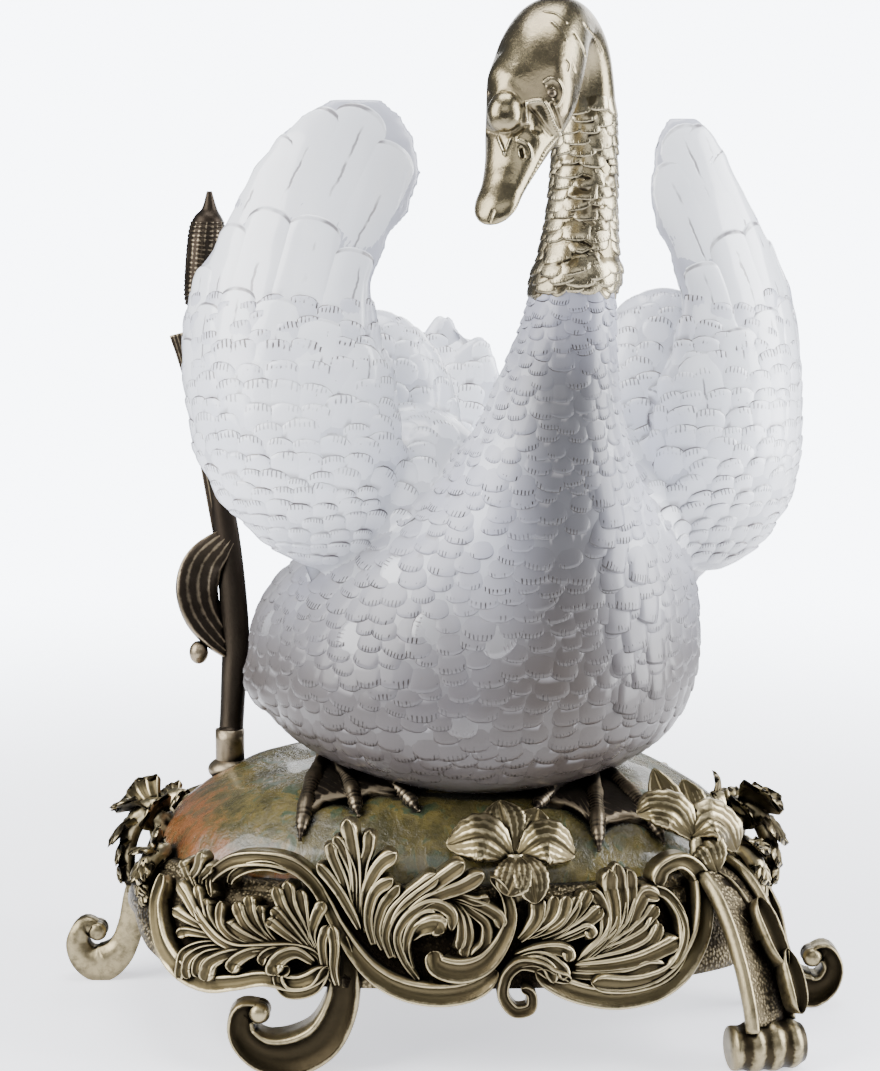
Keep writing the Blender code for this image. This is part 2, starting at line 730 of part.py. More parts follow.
# Scroll bands: panel points, half widths, how far the middle stands out, half thickness
BANDS = (
    (
        (
            (-99, 72), (-97, 82), (-87, 87), (-73, 89), (-60, 85),
            (-50, 76), (-44, 62), (-38, 51), (-27, 41), (-10, 34),
        ),
        (2.0, 2.6, 3.0, 3.2, 3.4, 3.6, 3.8, 4.2, 4.6, 5.0),
        4.0,
        4.2,
    ),
    (
        (
            (-14, 35), (0, 33), (11, 36), (21, 44), (26, 55), (26, 69),
            (19, 80), (7, 84), (-6, 82), (-16, 73), (-17, 61), (-11, 52),
        ),
        (4.8, 5.0, 4.8, 4.4, 3.8, 3.6, 3.6, 3.6, 3.4, 3.2, 3.0, 2.8),
        4.6,
        4.4,
    ),
    (
        ((-12, 53), (-1, 50), (8, 54), (11, 63), (6, 71), (-2, 70), (-4, 63)),
        (3.0, 3.4, 3.4, 3.2, 3.0, 3.2, 4.0),
        6.0,
        4.2,
    ),
    (
        (
            (36, 46), (47, 39), (58, 35), (70, 33), (84, 35), (95, 42),
            (103, 54), (105, 67), (103, 78), (96, 85), (88, 83), (85, 76),
        ),
        (3.6, 4.2, 4.4, 4.4, 4.4, 4.4, 4.2, 4.0, 3.6, 3.4, 3.6, 4.2),
        4.4,
        4.4,
    ),
    (
        ((80, 76), (89, 72), (95, 62), (95, 50), (88, 42), (74, 39), (58, 41)),
        (1.8, 2.2, 2.6, 3.0, 3.4, 3.8, 4.2),
        5.0,
        4.0,
    ),
    (
        ((33, 47), (28, 41), (25, 35), (29, 30), (34, 33), (31, 37)),
        (2.6, 2.6, 2.6, 2.8, 2.6, 2.8),
        5.0,
        4.4,
    ),
    (
        (
            (-119, 73), (-122, 61), (-119, 48), (-110, 39), (-99, 36),
            (-88, 38), (-76, 41), (-62, 40), (-50, 46),
        ),
        (2.4, 3.0, 3.8, 4.0, 3.8, 3.2, 3.0, 3.2, 3.4),
        4.0,
        4.2,
    ),
    (((-50, 47), (-56, 38), (-66, 36), (-70, 42), (-66, 46)), (2.0, 2.4, 2.6, 2.4, 2.2), 4.6, 4.0),
)
# Leaves on the panel: rib points, lobe reach in millimetres, lobes a side, lean of the lobes, fullness
LEAVES = (
    (((-47, 44), (-60, 48), (-82, 53), (-102, 61), (-118, 75)), 23, 4, 40, 0.30),
    (((-44, 58), (-55, 68), (-70, 77), (-86, 80)), 12, 3, 46, 0.32),
    (((-35, 50), (-35, 64), (-36, 80), (-40, 95), (-50, 102)), 17, 4, 44, 0.30),
    (((-28, 66), (-23, 80), (-10, 89), (6, 90)), 12, 3, 40, 0.32),
    (((30, 44), (40, 54), (51, 66), (60, 81)), 16, 4, 40, 0.30),
    (((72, 38), (72, 54), (72, 72), (71, 88)), 19, 4, 44, 0.30),
    (((100, 44), (94, 56), (88, 66), (82, 74)), 11, 3, 36, 0.32),
    (((6, 56), (-1, 64), (-7, 74), (-3, 83)), 12, 3, 40, 0.32),
)
# Legs: places in panel millimetres (x, y, z), the way the broad face looks, half widths, half thickness
LEGS = (
    (
        (
            (-46, -103, 76), (-45, -106, 60), (-44, -107, 42), (-46, -107, 28), (-53, -107, 15),
            (-65, -106, 8), (-78, -105, 8), (-87, -104, 15), (-87, -104, 24), (-80, -104, 25),
        ),
        (0.1, -1.0, 0.0),
        (5, 6, 7, 8, 8.5, 9, 8.5, 7, 6, 5),
        (5, 5.5, 6, 6.8, 7.8, 8.2, 7.2, 5.8, 4.8, 4.0),
        True,
    ),
    (
        ((110, -66, 80), (118, -76, 74), (125, -86, 62), (130, -95, 46), (133, -102, 30), (134, -105, 19)),
        (0.72, -0.7, 0.0),
        (11, 13, 14.5, 14.5, 14, 13.5),
        (3.4, 3.4, 3.6, 3.6, 3.8, 4.4),
        False,
    ),
    (
        (
            (134, -13, 74), (141, -17, 58), (146, -19, 42), (149, -20, 27), (154, -20, 14),
            (163, -20, 7.5), (171, -20, 10), (174.5, -20, 18), (171, -20, 25), (165, -20, 23),
        ),
        (0.9, 0.0, 0.3),
        (8, 8, 8, 7.5, 7, 7, 7, 6.5, 6, 5.5),
        (5, 5, 5, 5.2, 6, 7.4, 5.6, 4.4, 3.8, 3.4),
        True,
    ),
)
# The horizontal roll at the bottom of the corner leg: two ends and its radius
ROLL_ENDS = ((118.5, -109, 10.2), (149, -101, 10.2))
ROLL_RADIUS = 11.0
LEG_LOBES = (
    ((118, -78, 66), 6.5),
    ((139, -92, 62), 7.5),
    ((145, -97, 46), 7.0),
    ((117, -90, 49), 5.5),
    ((143, -101, 31), 5.5),
)
# Leaves that hang over the ends: rib places, lobe reach, lobes a side, lean
END_LEAVES = (
    (((130, 4, 74), (134, 3, 86), (142, 1, 83), (147, 0, 72), (148, -1, 59), (145, -1, 48)), 19, 4, 48),
    (((124, -40, 70), (129, -43, 80), (135, -46, 73), (137, -48, 61), (134, -50, 50)), 13, 3, 48),
    (((125, 42, 70), (129, 47, 78), (134, 51, 69), (133, 53, 58)), 13, 3, 48),
)
# Flowers and leaves that stand on the front rim: places of their ribs and half widths
SPRAYS = (
    (((27, -93, 88), (14, -93, 97), (-1, -90, 93)), (3.5, 9.5, 2.0)),
    (((27, -92, 90), (23, -86, 102), (21, -81, 110)), (3.5, 8.5, 1.5)),
    (((29, -92, 90), (35, -86, 100), (38, -83, 107)), (3.5, 7.5, 1.5)),
    (((29, -93, 89), (41, -92, 95), (53, -89, 88)), (3.5, 9.0, 2.0)),
    (((28, -96, 90), (27, -104, 84), (24, -108, 76)), (4.0, 7.0, 6.5)),
    (((30, -96, 90), (34, -105, 83), (36, -109, 73)), (4.0, 6.5, 4.5)),
    (((108, -70, 88), (102, -66, 97), (95, -60, 105), (89, -55, 118)), (2.2, 3.2, 6.5, 1.2)),
    (((108, -70, 90), (108, -64, 98), (105, -59, 105), (102, -55, 113)), (2.2, 3.2, 6.0, 1.2)),
    (((106, -72, 90), (98, -73, 102), (88, -73, 105), (81, -72, 102)), (3.0, 7.5, 7.0, 1.2)),
    (((104, -72, 92), (112, -71, 99), (120, -66, 94), (125, -61, 83)), (3.0, 8.5, 7.5, 1.5)),
    (((107, -72, 88), (111, -77, 88), (115, -78, 78)), (3.0, 7.0, 2.0)),
)
SPRAY_STEMS = (
    (((27, -97, 70), (28, -96, 82), (28, -94, 90)), 4.0),
    (((104, -76, 70), (107, -74, 82), (107, -71, 91)), 3.6),
)


def place_in_mount(x, y, z):
    """A place in the mount from panel millimetres."""
    depth_share = MOUNT_HALF_DEPTH / 98.0
    return Vector((x * PANEL_SHARE, y * depth_share, z * RISE_SHARE))


def run_in_mount(points, count):
    return [place_in_mount(*p) for p in smooth_through(points, count)]


def add_volute_end(bm, centre, axis, radius, width):
    """A round boss at the end of a scroll."""
    side = axis.normalized()
    path = [centre + side * width * (n / 4 - 0.5) for n in range(5)]
    radii = [radius * w for w in (0.8, 1, 1, 1, 0.8)]
    add_strip(bm, path, [side.orthogonal()] * 5, radii, radii, 14)


def add_legs(bm):
    for points, look, widths, depths, rolled in LEGS:
        count = len(points) * 3
        path = run_in_mount(points, count)
        normal = Vector(look).normalized()
        lateral = Vector((-normal.y, normal.x, 0)).normalized()
        if rolled:
            # The broad face turns with the path, square to the level side direction
            side = Vector((0, 1, 0))
            normals = []
            for n in range(count):
                ahead = path[min(n + 1, count - 1)] - path[max(n - 1, 0)]
                normals.append(ahead.cross(side).normalized())
            add_strip(bm, path, normals, taper(widths, count), taper(depths, count), 12, 2.6)
            end = path[-1]
            add_volute_end(bm, end, side, 5.2 * PANEL_SHARE, 15 * PANEL_SHARE)
        else:
            add_strip(bm, path, [normal] * count, taper(widths, count), taper(depths, count), 12, 3.0)
            for edge in (-1, 1):
                sizes = taper(widths, count)
                rim = [p + lateral * edge * w * 0.92 + normal * 0.0022 for p, w in zip(path, sizes)]
                add_strip(bm, rim, [normal] * count, [0.0028] * count, [0.0034] * count, 8)
    ends = [place_in_mount(*p) for p in ROLL_ENDS]
    radius = ROLL_RADIUS * PANEL_SHARE
    path = [ends[0].lerp(ends[1], n / 8) for n in range(9)]
    swell = [radius * w for w in (0.80, 0.95, 1, 0.95, 0.97, 0.95, 1, 0.95, 0.80)]
    add_strip(bm, path, [Vector((0, 0, 1))] * 9, swell, swell, 18)
    for place, size in LEG_LOBES:
        axes = [Vector((size, 0, 0)), Vector((0, size * 0.55, 0)), Vector((0, 0, size))]
        add_ellipsoid(bm, place_in_mount(*place), [v * PANEL_SHARE for v in axes], 12, 7)


def add_end_leaves(bm):
    for points, reach, lobes, lean in END_LEAVES:
        path = run_in_mount(points, 14)
        middle = place_in_mount(112, points[0][1], 58)
        normals = [(p - middle).normalized() for p in path]
        add_leaf(bm, path, normals, reach * PANEL_SHARE, lobes, lean, rib=0.0062, fullness=0.40)


def add_sprays(bm):
    for points, widths in SPRAYS:
        path = run_in_mount(points, 9)
        normals = [Vector((0, -0.75, 0.66))] * 9
        sizes = taper(widths, 9)
        add_strip(bm, path, normals, sizes, [max(0.0012, w * 0.22) for w in sizes], 10)
    for points, radius in SPRAY_STEMS:
        radii = [radius * PANEL_SHARE] * 6
        add_strip(bm, run_in_mount(points, 6), [Vector((1, 0, 0))] * 6, radii, radii, 10)


def add_front(bm):
    """The scrolls, leaves and flowers of the front, on the panel."""
    for points, widths, out, depth in BANDS:
        count = len(points) * 3
        path, normals = panel_run(points, count, out * PANEL_SHARE)
        add_strip(bm, path, normals, taper(widths, count), [depth * PANEL_SHARE] * count, 10, 2.4)
    for points, reach, lobes, lean, fullness in LEAVES:
        path, normals = panel_run(points, 12, 0.0038)
        add_leaf(bm, path, normals, reach * PANEL_SHARE, lobes, lean, rib=0.0030, fullness=fullness)


def add_hoop(bm, sections):
    """A closed band from equal sections that go once round."""
    rows = [[bm.verts.new(p) for p in section] for section in sections]
    faces = []
    for low, high in zip(rows, rows[1:] + rows[:1]):
        for i in range(len(low)):
            j = (i + 1) % len(low)
            faces.append(bm.faces.new((low[i], low[j], high[j], high[i])))
    bmesh.ops.recalc_face_normals(bm, faces=faces)


def apron_bottom(angle):
    """Height of the apron's scalloped lower edge. It drops at the front and back, not at the ends."""
    face = abs(math.sin(angle))
    drop = 0.014 * min(1.0, max(0.0, (face - 0.35) / 0.3))
    return FLOOR_UNDERSIDE + 0.001 - drop


def add_frame(bm, segments=96):
    """The rim that holds the mound, its floor, and the flared apron below."""
    rim, apron = [], []
    inset = RING_WALL + 0.0012
    for n in range(segments):
        angle = 2 * math.pi * n / segments
        outer = plan_point(angle, MOUNT_HALF_WIDTH, MOUNT_HALF_DEPTH)
        inner = plan_point(angle, MOUNT_HALF_WIDTH - inset, MOUNT_HALF_DEPTH - inset)
        levels = (FLOOR_UNDERSIDE, RING_TOP)
        rim.append(
            [
                inner + Vector((0, 0, levels[0])),
                outer + Vector((0, 0, levels[0])),
                outer + Vector((0, 0, levels[1] - 0.002)),
                (outer * 2 + inner) / 3 + Vector((0, 0, levels[1])),
                inner + Vector((0, 0, levels[1])),
            ]
        )
        outside, inside = [], []
        bottom = apron_bottom(angle)
        for k in range(6):
            z = RING_TOP - 0.004 + (bottom - RING_TOP + 0.004) * k / 5
            flare = apron_flare(z)
            level = Vector((0, 0, z))
            outside.append(plan_point(angle, MOUNT_HALF_WIDTH + flare, MOUNT_HALF_DEPTH + flare) + level)
            thin = flare - APRON_THICKNESS
            inside.append(plan_point(angle, MOUNT_HALF_WIDTH + thin, MOUNT_HALF_DEPTH + thin) + level)
        apron.append(outside + inside[::-1])
    add_hoop(bm, rim)
    add_hoop(bm, apron)
    turns = [2 * math.pi * n / segments for n in range(segments)]
    plate = [plan_point(turn, MOUNT_HALF_WIDTH - 0.002, MOUNT_HALF_DEPTH - 0.002) for turn in turns]
    levels = (FLOOR_UNDERSIDE, FLOOR_UNDERSIDE + FLOOR_THICKNESS + 0.001)
    add_loft(bm, [[p + Vector((0, 0, z)) for p in plate] for z in levels])


def build_mount(material):
    """The whole mount as one casting. The second half repeats the first, turned half round."""
    bm = bmesh.new()
    add_front(bm)
    add_legs(bm)
    add_end_leaves(bm)
    half = bm.copy()
    turn = Matrix.Rotation(math.pi, 4, "Z")
    bmesh.ops.transform(half, matrix=turn, verts=half.verts)
    other = bpy.data.meshes.new("second_half")
    half.to_mesh(other)
    half.free()
    bm.from_mesh(other)
    add_sprays(bm)
    add_frame(bm)
    obj = fused("base_mount", bm, material, MOUNT_VOXEL, MOUNT_FACES)
    # The exact solver gives nothing here: thinned scrollwork crosses itself in places
    cut(obj, bpy.data.objects["mound_seat_cutter"], "Seat of the mound", "MANIFOLD")
    reach = 0.4
    ground = box_cutter("ground_cutter", (-reach, -reach, -0.1), (reach, reach, 0))
    cut(obj, ground, "Flat feet", "MANIFOLD")
    return settled(obj)


# The bulrush behind the swan's right wing

REED_FOOT = (-0.103, 0.033)
# Places on the stalk from the mound's top (x, y, z), half width, half thickness
REED_STALK = (
    (-0.103, 0.033, 0.000, 0.0068, 0.0064),
    (-0.1025, 0.035, 0.004, 0.0058, 0.0052),
    (-0.1015, 0.038, 0.024, 0.0060, 0.0050),
    (-0.1005, 0.041, 0.047, 0.0068, 0.0050),
    (-0.1035, 0.044, 0.088, 0.0062, 0.0048),
    (-0.1085, 0.047, 0.124, 0.0048, 0.0042),
    (-0.114, 0.049, 0.160, 0.0036, 0.0034),
    (-0.1165, 0.050, 0.186, 0.0030, 0.0030),
    (-0.1165, 0.050, 0.197, 0.0034, 0.0034),
    (-0.1155, 0.050, 0.202, 0.0072, 0.0072),
    (-0.1145, 0.050, 0.212, 0.0086, 0.0086),
    (-0.1125, 0.050, 0.234, 0.0086, 0.0086),
    (-0.1115, 0.050, 0.242, 0.0070, 0.0070),
    (-0.111, 0.050, 0.247, 0.0036, 0.0036),
    (-0.111, 0.050, 0.255, 0.0012, 0.0012),
)
REED_BLADE = (
    (-0.1035, 0.044, 0.080, 0.0045, 0.0028),
    (-0.111, 0.047, 0.124, 0.0048, 0.0026),
    (-0.118, 0.049, 0.160, 0.0040, 0.0024),
    (-0.1235, 0.050, 0.178, 0.0034, 0.0022),
    (-0.1265, 0.050, 0.189, 0.0040, 0.0022),
)
# The strap leaf curls off the stalk, hangs down on the outer side and comes back to it
REED_STRAP = (
    (-0.1035, 0.042, 0.094, 0.0045, 0.0022),
    (-0.109, 0.041, 0.089, 0.0075, 0.0024),
    (-0.1155, 0.040, 0.081, 0.0095, 0.0026),
    (-0.118, 0.039, 0.070, 0.0100, 0.0028),
    (-0.1155, 0.039, 0.058, 0.0092, 0.0028),
    (-0.109, 0.039, 0.048, 0.0075, 0.0026),
    (-0.1025, 0.040, 0.040, 0.0045, 0.0024),
)


def reed_place(x, y, z):
    """A place on the reed, which keeps clear of the wing at any size of the swan. Below 0 it is rooted."""
    x, y = x * SHARE, y * SHARE
    if z < 0:
        return on_mound(x, y, -0.003)
    return Vector((x, y, MOUND_TOP + z * SHARE))


def add_reed_part(bm, rows, count, normal, sides=10, power=2.0):
    stations = smooth_through(rows, count)
    path = [reed_place(x, y, z) for x, y, z, _, _ in stations]
    add_strip(bm, path, [normal] * count, [r[3] for r in stations], [r[4] for r in stations], sides, power)


def build_bulrush(material):
    bm = bmesh.new()
    facing = Vector((-0.25, -1.0, 0.1)).normalized()
    add_reed_part(bm, REED_STALK, 48, facing, 12)
    add_reed_part(bm, REED_BLADE, 14, facing, 8, 3.0)
    add_reed_part(bm, REED_STRAP, 22, Vector((0.15, -0.55, 0.35)), 8, 3.0)
    foot = on_mound(REED_FOOT[0] * SHARE, REED_FOOT[1] * SHARE, -0.002)
    add_ellipsoid(bm, foot, [Vector((0.0105, 0, 0)), Vector((0, 0.0105, 0)), Vector((0, 0, 0.006))], 14, 7)
    top = reed_place(REED_FOOT[0], REED_FOOT[1], 0.004)
    root = [foot.lerp(top, n / 4) for n in range(5)]
    add_strip(bm, root, [facing] * 5, [0.0068] * 5, [0.0064] * 5, 12)
    nub = reed_place(-0.1175, 0.037, 0.040)
    add_ellipsoid(bm, nub, [Vector((0.0045, 0, 0)), Vector((0, 0.0045, 0)), Vector((0, 0, 0.0055))], 12, 7)
    add_strip(
        bm,
        [nub + Vector((0.0005 * n, 0, 0.0028 * n)) for n in range(5)],
        [Vector((0, -1, 0))] * 5,
        [0.003] * 5,
        [0.0026] * 5,
        8,
    )
    obj = fused("bulrush", bm, material, REED_VOXEL, REED_FACES)
    cut(obj, bpy.data.objects["mound_seat_cutter"], "Stands on the mound")
    return settled(obj)


def centre_whole():
    """Moves every piece so that the origin lies on the ground under the middle of the whole."""
    pieces = [obj for obj in bpy.data.objects if obj.type == "MESH" and not obj.hide_render]
    spots = [vert.co for obj in pieces for vert in obj.data.vertices]
    middle = [(min(p[i] for p in spots) + max(p[i] for p in spots)) / 2 for i in range(2)]
    for obj in pieces:
        obj.data.transform(Matrix.Translation((-middle[0], -middle[1], 0)))


def main():
    clear_scene()
    glaze = make_material("white_glaze", (0.86, 0.87, 0.90), 0.12, 0.0)
    bronze = make_material("antique_bronze", (0.36, 0.31, 0.21), 0.35, 1.0)
    polished = make_material("rubbed_bronze", (0.62, 0.55, 0.40), 0.25, 1.0)
    dark = make_material("dark_bronze", (0.20, 0.16, 0.12), 0.45, 1.0)
    moss = make_material("mottled_glaze", (0.45, 0.38, 0.20), 0.25, 0.0)
    as_cutter(solid("mound_seat_cutter", mound_mesh(FIT_GAP)))
    build_mound(moss)
    for name in FEET:
        build_foot_room(name)
    build_swan(glaze)
    build_head(polished)
    for name in FEET:
        build_foot(name, dark)
    build_mount(bronze)
    build_bulrush(dark)
    centre_whole()


main()
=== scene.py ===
"""Looks of the porcelain swan with a bronze head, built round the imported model.

Metres, +Z up, the front faces -Y. The forms repeat the part's own forms, with finer skins, and are
drawn round the middle of the mount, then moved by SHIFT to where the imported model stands.
Feathers are small domed sheets that Geometry Nodes lay on the skins, from rows of seeds.
"""

import math
import random

import bmesh
import bpy
import numpy as np
from mathutils import Matrix, Vector
from mathutils.bvhtree import BVHTree


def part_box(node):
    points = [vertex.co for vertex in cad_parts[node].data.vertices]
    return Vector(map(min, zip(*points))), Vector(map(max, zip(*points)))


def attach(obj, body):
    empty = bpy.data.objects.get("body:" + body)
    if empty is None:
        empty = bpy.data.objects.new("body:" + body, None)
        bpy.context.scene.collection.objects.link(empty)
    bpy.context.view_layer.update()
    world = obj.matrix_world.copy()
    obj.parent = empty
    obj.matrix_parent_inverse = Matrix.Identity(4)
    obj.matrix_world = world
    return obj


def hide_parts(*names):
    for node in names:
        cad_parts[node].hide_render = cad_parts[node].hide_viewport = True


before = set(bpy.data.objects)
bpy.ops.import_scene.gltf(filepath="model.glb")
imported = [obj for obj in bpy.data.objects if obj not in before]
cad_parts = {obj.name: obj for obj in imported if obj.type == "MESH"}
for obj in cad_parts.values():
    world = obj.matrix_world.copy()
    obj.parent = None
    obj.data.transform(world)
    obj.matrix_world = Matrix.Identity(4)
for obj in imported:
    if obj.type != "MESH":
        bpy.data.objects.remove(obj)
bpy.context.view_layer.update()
random.seed(11)

# The drawn forms stand round the middle of the mound, whose box gives their place in the model
MOUND_LOW, MOUND_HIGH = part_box("mound")
SHIFT = Vector(((MOUND_LOW[0] + MOUND_HIGH[0]) / 2, (MOUND_LOW[1] + MOUND_HIGH[1]) / 2, 0))

# The camera, in the drawn frame
CAMERA_HEIGHT_ANGLE = math.radians(8.0)
CAMERA_DISTANCE = 1.145
CAMERA_LENS = 85.0
CAMERA_TARGET = Vector((-0.004, 0.0, 0.213))
PICTURE = (880, 1071)

# Driving dimensions of the mount and the mound
MOUNT_HALF_WIDTH = 0.136
MOUNT_HALF_DEPTH = 0.098
RING_WALL = 0.005
RING_TOP = 0.076
FLOOR_UNDERSIDE = 0.050
FLOOR_THICKNESS = 0.004
APRON_FLARE = 0.014
APRON_THICKNESS = 0.0045
MOUND_HEIGHT = 0.058
MOUND_SHOULDER = 0.018
FIT_GAP = 0.0003
PLAN_POWER = 2.6
# Driving dimensions of the swan
SWAN_HEIGHT = 0.297
NECK_JOINT_SHARE = 0.754
SWAN_TURN = math.radians(20.0)
WING_TURN = math.radians(16.0)
ANKLE_RADIUS = 0.0055
ANKLE_SOCKET_DEPTH = 0.012
MOUND_FOOT = FLOOR_UNDERSIDE + FLOOR_THICKNESS + FIT_GAP
MOUND_TOP = MOUND_FOOT + MOUND_HEIGHT
SWAN_SEAT = MOUND_TOP + FIT_GAP
NECK_JOINT = SWAN_SEAT + NECK_JOINT_SHARE * SWAN_HEIGHT
SHARE = SWAN_HEIGHT / 0.297

# Fineness of the two skins, and the most triangles that either keeps
SWAN_VOXEL = 0.0017
HEAD_VOXEL = 0.0008
MOST_TRIANGLES = 190000


def blend_between(rows, key):
    """The values of a table of (key, values...) at one key, on a smooth curve through the rows."""
    if key <= rows[0][0]:
        return rows[0][1:]
    if key >= rows[-1][0]:
        return rows[-1][1:]
    i = max(n for n in range(len(rows) - 1) if rows[n][0] <= key)
    share = (key - rows[i][0]) / (rows[i + 1][0] - rows[i][0])
    share = share * share * (3 - 2 * share)
    return tuple(a + (b - a) * share for a, b in zip(rows[i][1:], rows[i + 1][1:]))


def smooth_through(points, count):
    """That many evenly spaced stations on a Catmull-Rom curve through the points, of any dimension."""
    ends = [tuple(2 * a - b for a, b in zip(points[0], points[1]))]
    tail = [tuple(2 * a - b for a, b in zip(points[-1], points[-2]))]
    run = ends + [tuple(p) for p in points] + tail
    stations = []
    for n in range(count):
        where = n * (len(points) - 1) / (count - 1)
        i = min(int(where), len(points) - 2)
        t = where - i
        a, b, c, d = run[i : i + 4]
        stations.append(
            tuple(
                0.5
                * (
                    2 * q
                    + (r - p) * t
                    + (2 * p - 5 * q + 4 * r - s) * t**2
                    + (3 * q - p - 3 * r + s) * t**3
                )
                for p, q, r, s in zip(a, b, c, d)
            )
        )
    return stations


def add_loft(bm, rings):
    """Closes a run of equal rings into one shell, with a flat cap at each end."""
    rows = [[bm.verts.new(p) for p in ring] for ring in rings]
    count = len(rows[0])
    faces = []
    for low, high in zip(rows, rows[1:]):
        for i in range(count):
            j = (i + 1) % count
            faces.append(bm.faces.new((low[i], low[j], high[j], high[i])))
    faces.append(bm.faces.new(list(reversed(rows[0]))))
    faces.append(bm.faces.new(rows[-1]))
    bmesh.ops.recalc_face_normals(bm, faces=faces)


def oval_ring(centre, across, along, sides, power=2.0):
    """A closed ring on a superellipse with these two half axes."""
    ring = []
    for n in range(sides):
        angle = 2 * math.pi * n / sides
        c, s = math.cos(angle), math.sin(angle)
        ring.append(
            centre
            + across * math.copysign(abs(c) ** (2 / power), c)
            + along * math.copysign(abs(s) ** (2 / power), s)
        )
    return ring


def add_ellipsoid(bm, centre, axes, sides=20, rows=11):
    """An ellipsoid with three given half axes."""
    rings = []
    for n in range(rows):
        angle = math.pi * (n + 0.5) / rows
        middle = centre - axes[2] * math.cos(angle)
        rings.append(oval_ring(middle, axes[0] * math.sin(angle), axes[1] * math.sin(angle), sides))
    add_loft(bm, rings)


def add_strip(bm, path, face_normals, widths, depths, sides=8, power=2.0):
    """A tapering bar along a path. Its width lies square to the path and the face normal."""
    rings = []
    last = len(path) - 1
    for n, point in enumerate(path):
        ahead = path[min(n + 1, last)] - path[max(n - 1, 0)]
        across = ahead.cross(face_normals[n]).normalized()
        along = across.cross(ahead).normalized()
        rings.append(oval_ring(point, across * widths[n], along * depths[n], sides, power))
    add_loft(bm, rings)


def add_profile(bm, path, face_normals, widths, depths, profile):
    """A tapering bar along a path, whose cross section is a closed profile of (across, out) shares."""
    rings = []
    last = len(path) - 1
    for n, point in enumerate(path):
        ahead = path[min(n + 1, last)] - path[max(n - 1, 0)]
        across = ahead.cross(face_normals[n]).normalized()
        out = across.cross(ahead).normalized()
        rings.append([point + across * widths[n] * a + out * depths[n] * b for a, b in profile])
    add_loft(bm, rings)


# Cross sections: a hollow flute with two bright edges, a broad band with raised edges, a dished spoon
FLUTE = (
    (-1, -0.9), (-1.0, 0.2), (-0.86, 0.85), (-0.64, 0.85), (-0.42, 0.30), (0, 0.02),
    (0.42, 0.30), (0.64, 0.85), (0.86, 0.85), (1, 0.2), (1, -0.9), (0, -1.1),
)
SCROLL = (
    (-1, -1), (-1.02, 0.2), (-0.95, 0.58), (-0.80, 0.72), (-0.64, 0.66), (-0.50, 0.46), (-0.22, 0.40),
    (0.08, 0.46), (0.32, 0.62), (0.54, 0.86), (0.74, 1.0), (0.90, 0.90), (1.0, 0.5), (1.0, -1), (0, -1.1),
)
SPOON = (
    (-1, -0.9), (-1.02, 0.35), (-0.93, 0.86), (-0.78, 1.0), (-0.62, 0.80), (-0.40, 0.30), (0, 0.05),
    (0.40, 0.30), (0.62, 0.80), (0.78, 1.0), (0.93, 0.86), (1.02, 0.35), (1, -0.9), (0, -1.1),
)
# A hollow strand of a leaf that stands higher along one edge
STRAND = (
    (-1, -1.3), (-1.03, -0.15), (-0.94, 0.40), (-0.76, 0.72), (-0.52, 0.74), (-0.25, 0.58), (0, 0.50),
    (0.24, 0.56), (0.42, 0.76), (0.62, 1.0), (0.82, 0.84), (0.97, 0.30), (1.02, -1.3), (0, -1.6),
)


def add_shell(bm, rings):
    """Closes a run of rings into one shell. The rings must run so that the faces look outward."""
    rows = [[bm.verts.new(p) for p in ring] for ring in rings]
    count = len(rows[0])
    for low, high in zip(rows, rows[1:]):
        for i in range(count):
            j = (i + 1) % count
            bm.faces.new((low[i], low[j], high[j], high[i]))
    bm.faces.new(list(reversed(rows[0])))
    bm.faces.new(rows[-1])


def rounded_ends(sizes, count=4):
    """Widths that close to a round end at both ends."""
    last = len(sizes) - 1
    inward = [min(n, last - n, count) for n in range(last + 1)]
    shares = [math.sqrt(max(0.02, 1 - (1 - n / count) ** 2)) for n in inward]
    return [size * share for size, share in zip(sizes, shares)]


def new_piece(name, bm, shift=True):
    """A finished mesh as an object whose place is in its mesh."""
    mesh = bpy.data.meshes.new(name)
    bm.to_mesh(mesh)
    bm.free()
    if shift:
        mesh.transform(Matrix.Translation(SHIFT))
    mesh.shade_smooth()
    piece = bpy.data.objects.new(name, mesh)
    bpy.context.scene.collection.objects.link(piece)
    return piece


def baked(piece):
    """Works the piece's modifiers into its mesh."""
    depsgraph = bpy.context.evaluated_depsgraph_get()
    mesh = bpy.data.meshes.new_from_object(piece.evaluated_get(depsgraph))
    piece.modifiers.clear()
    piece.data = mesh
    mesh.shade_smooth()
    return piece


def thinned(piece):
    """The same shape with no more triangles than a piece may have."""
    triangles = sum(len(face.vertices) - 2 for face in piece.data.polygons)
    fewer = piece.modifiers.new("Fewer", "DECIMATE")
    fewer.ratio = min(1.0, MOST_TRIANGLES / triangles)
    return baked(piece)


def skinned(name, bm, voxel, soften):
    """One skin round everything in the mesh, eased a little."""
    piece = new_piece(name, bm)
    skin = piece.modifiers.new("One skin", "REMESH")
    skin.mode = "VOXEL"
    skin.voxel_size = voxel
    ease = piece.modifiers.new("Eased", "SMOOTH")
    ease.iterations = soften
    return baked(piece)


def skin_tree(piece):
    """The piece's skin for finding places on it."""
    bm = bmesh.new()
    bm.from_mesh(piece.data)
    tree = BVHTree.FromBMesh(bm)
    bm.free()
    return tree


# Sight lines from the camera, in the model's own frame

CAMERA_BACK = Vector((0, -math.cos(CAMERA_HEIGHT_ANGLE), math.sin(CAMERA_HEIGHT_ANGLE)))
CAMERA_PLACE = CAMERA_TARGET + SHIFT + CAMERA_BACK * CAMERA_DISTANCE
CAMERA_UP = Vector((1, 0, 0)).cross(-CAMERA_BACK)


def sight(x, y):
    """The way from the camera through a place in the picture."""
    scale = PICTURE[1] * CAMERA_LENS / 36.0
    right, up = (x - PICTURE[0] / 2) / scale, (PICTURE[1] / 2 - y) / scale
    return (-CAMERA_BACK + Vector((1, 0, 0)) * right + CAMERA_UP * up).normalized()


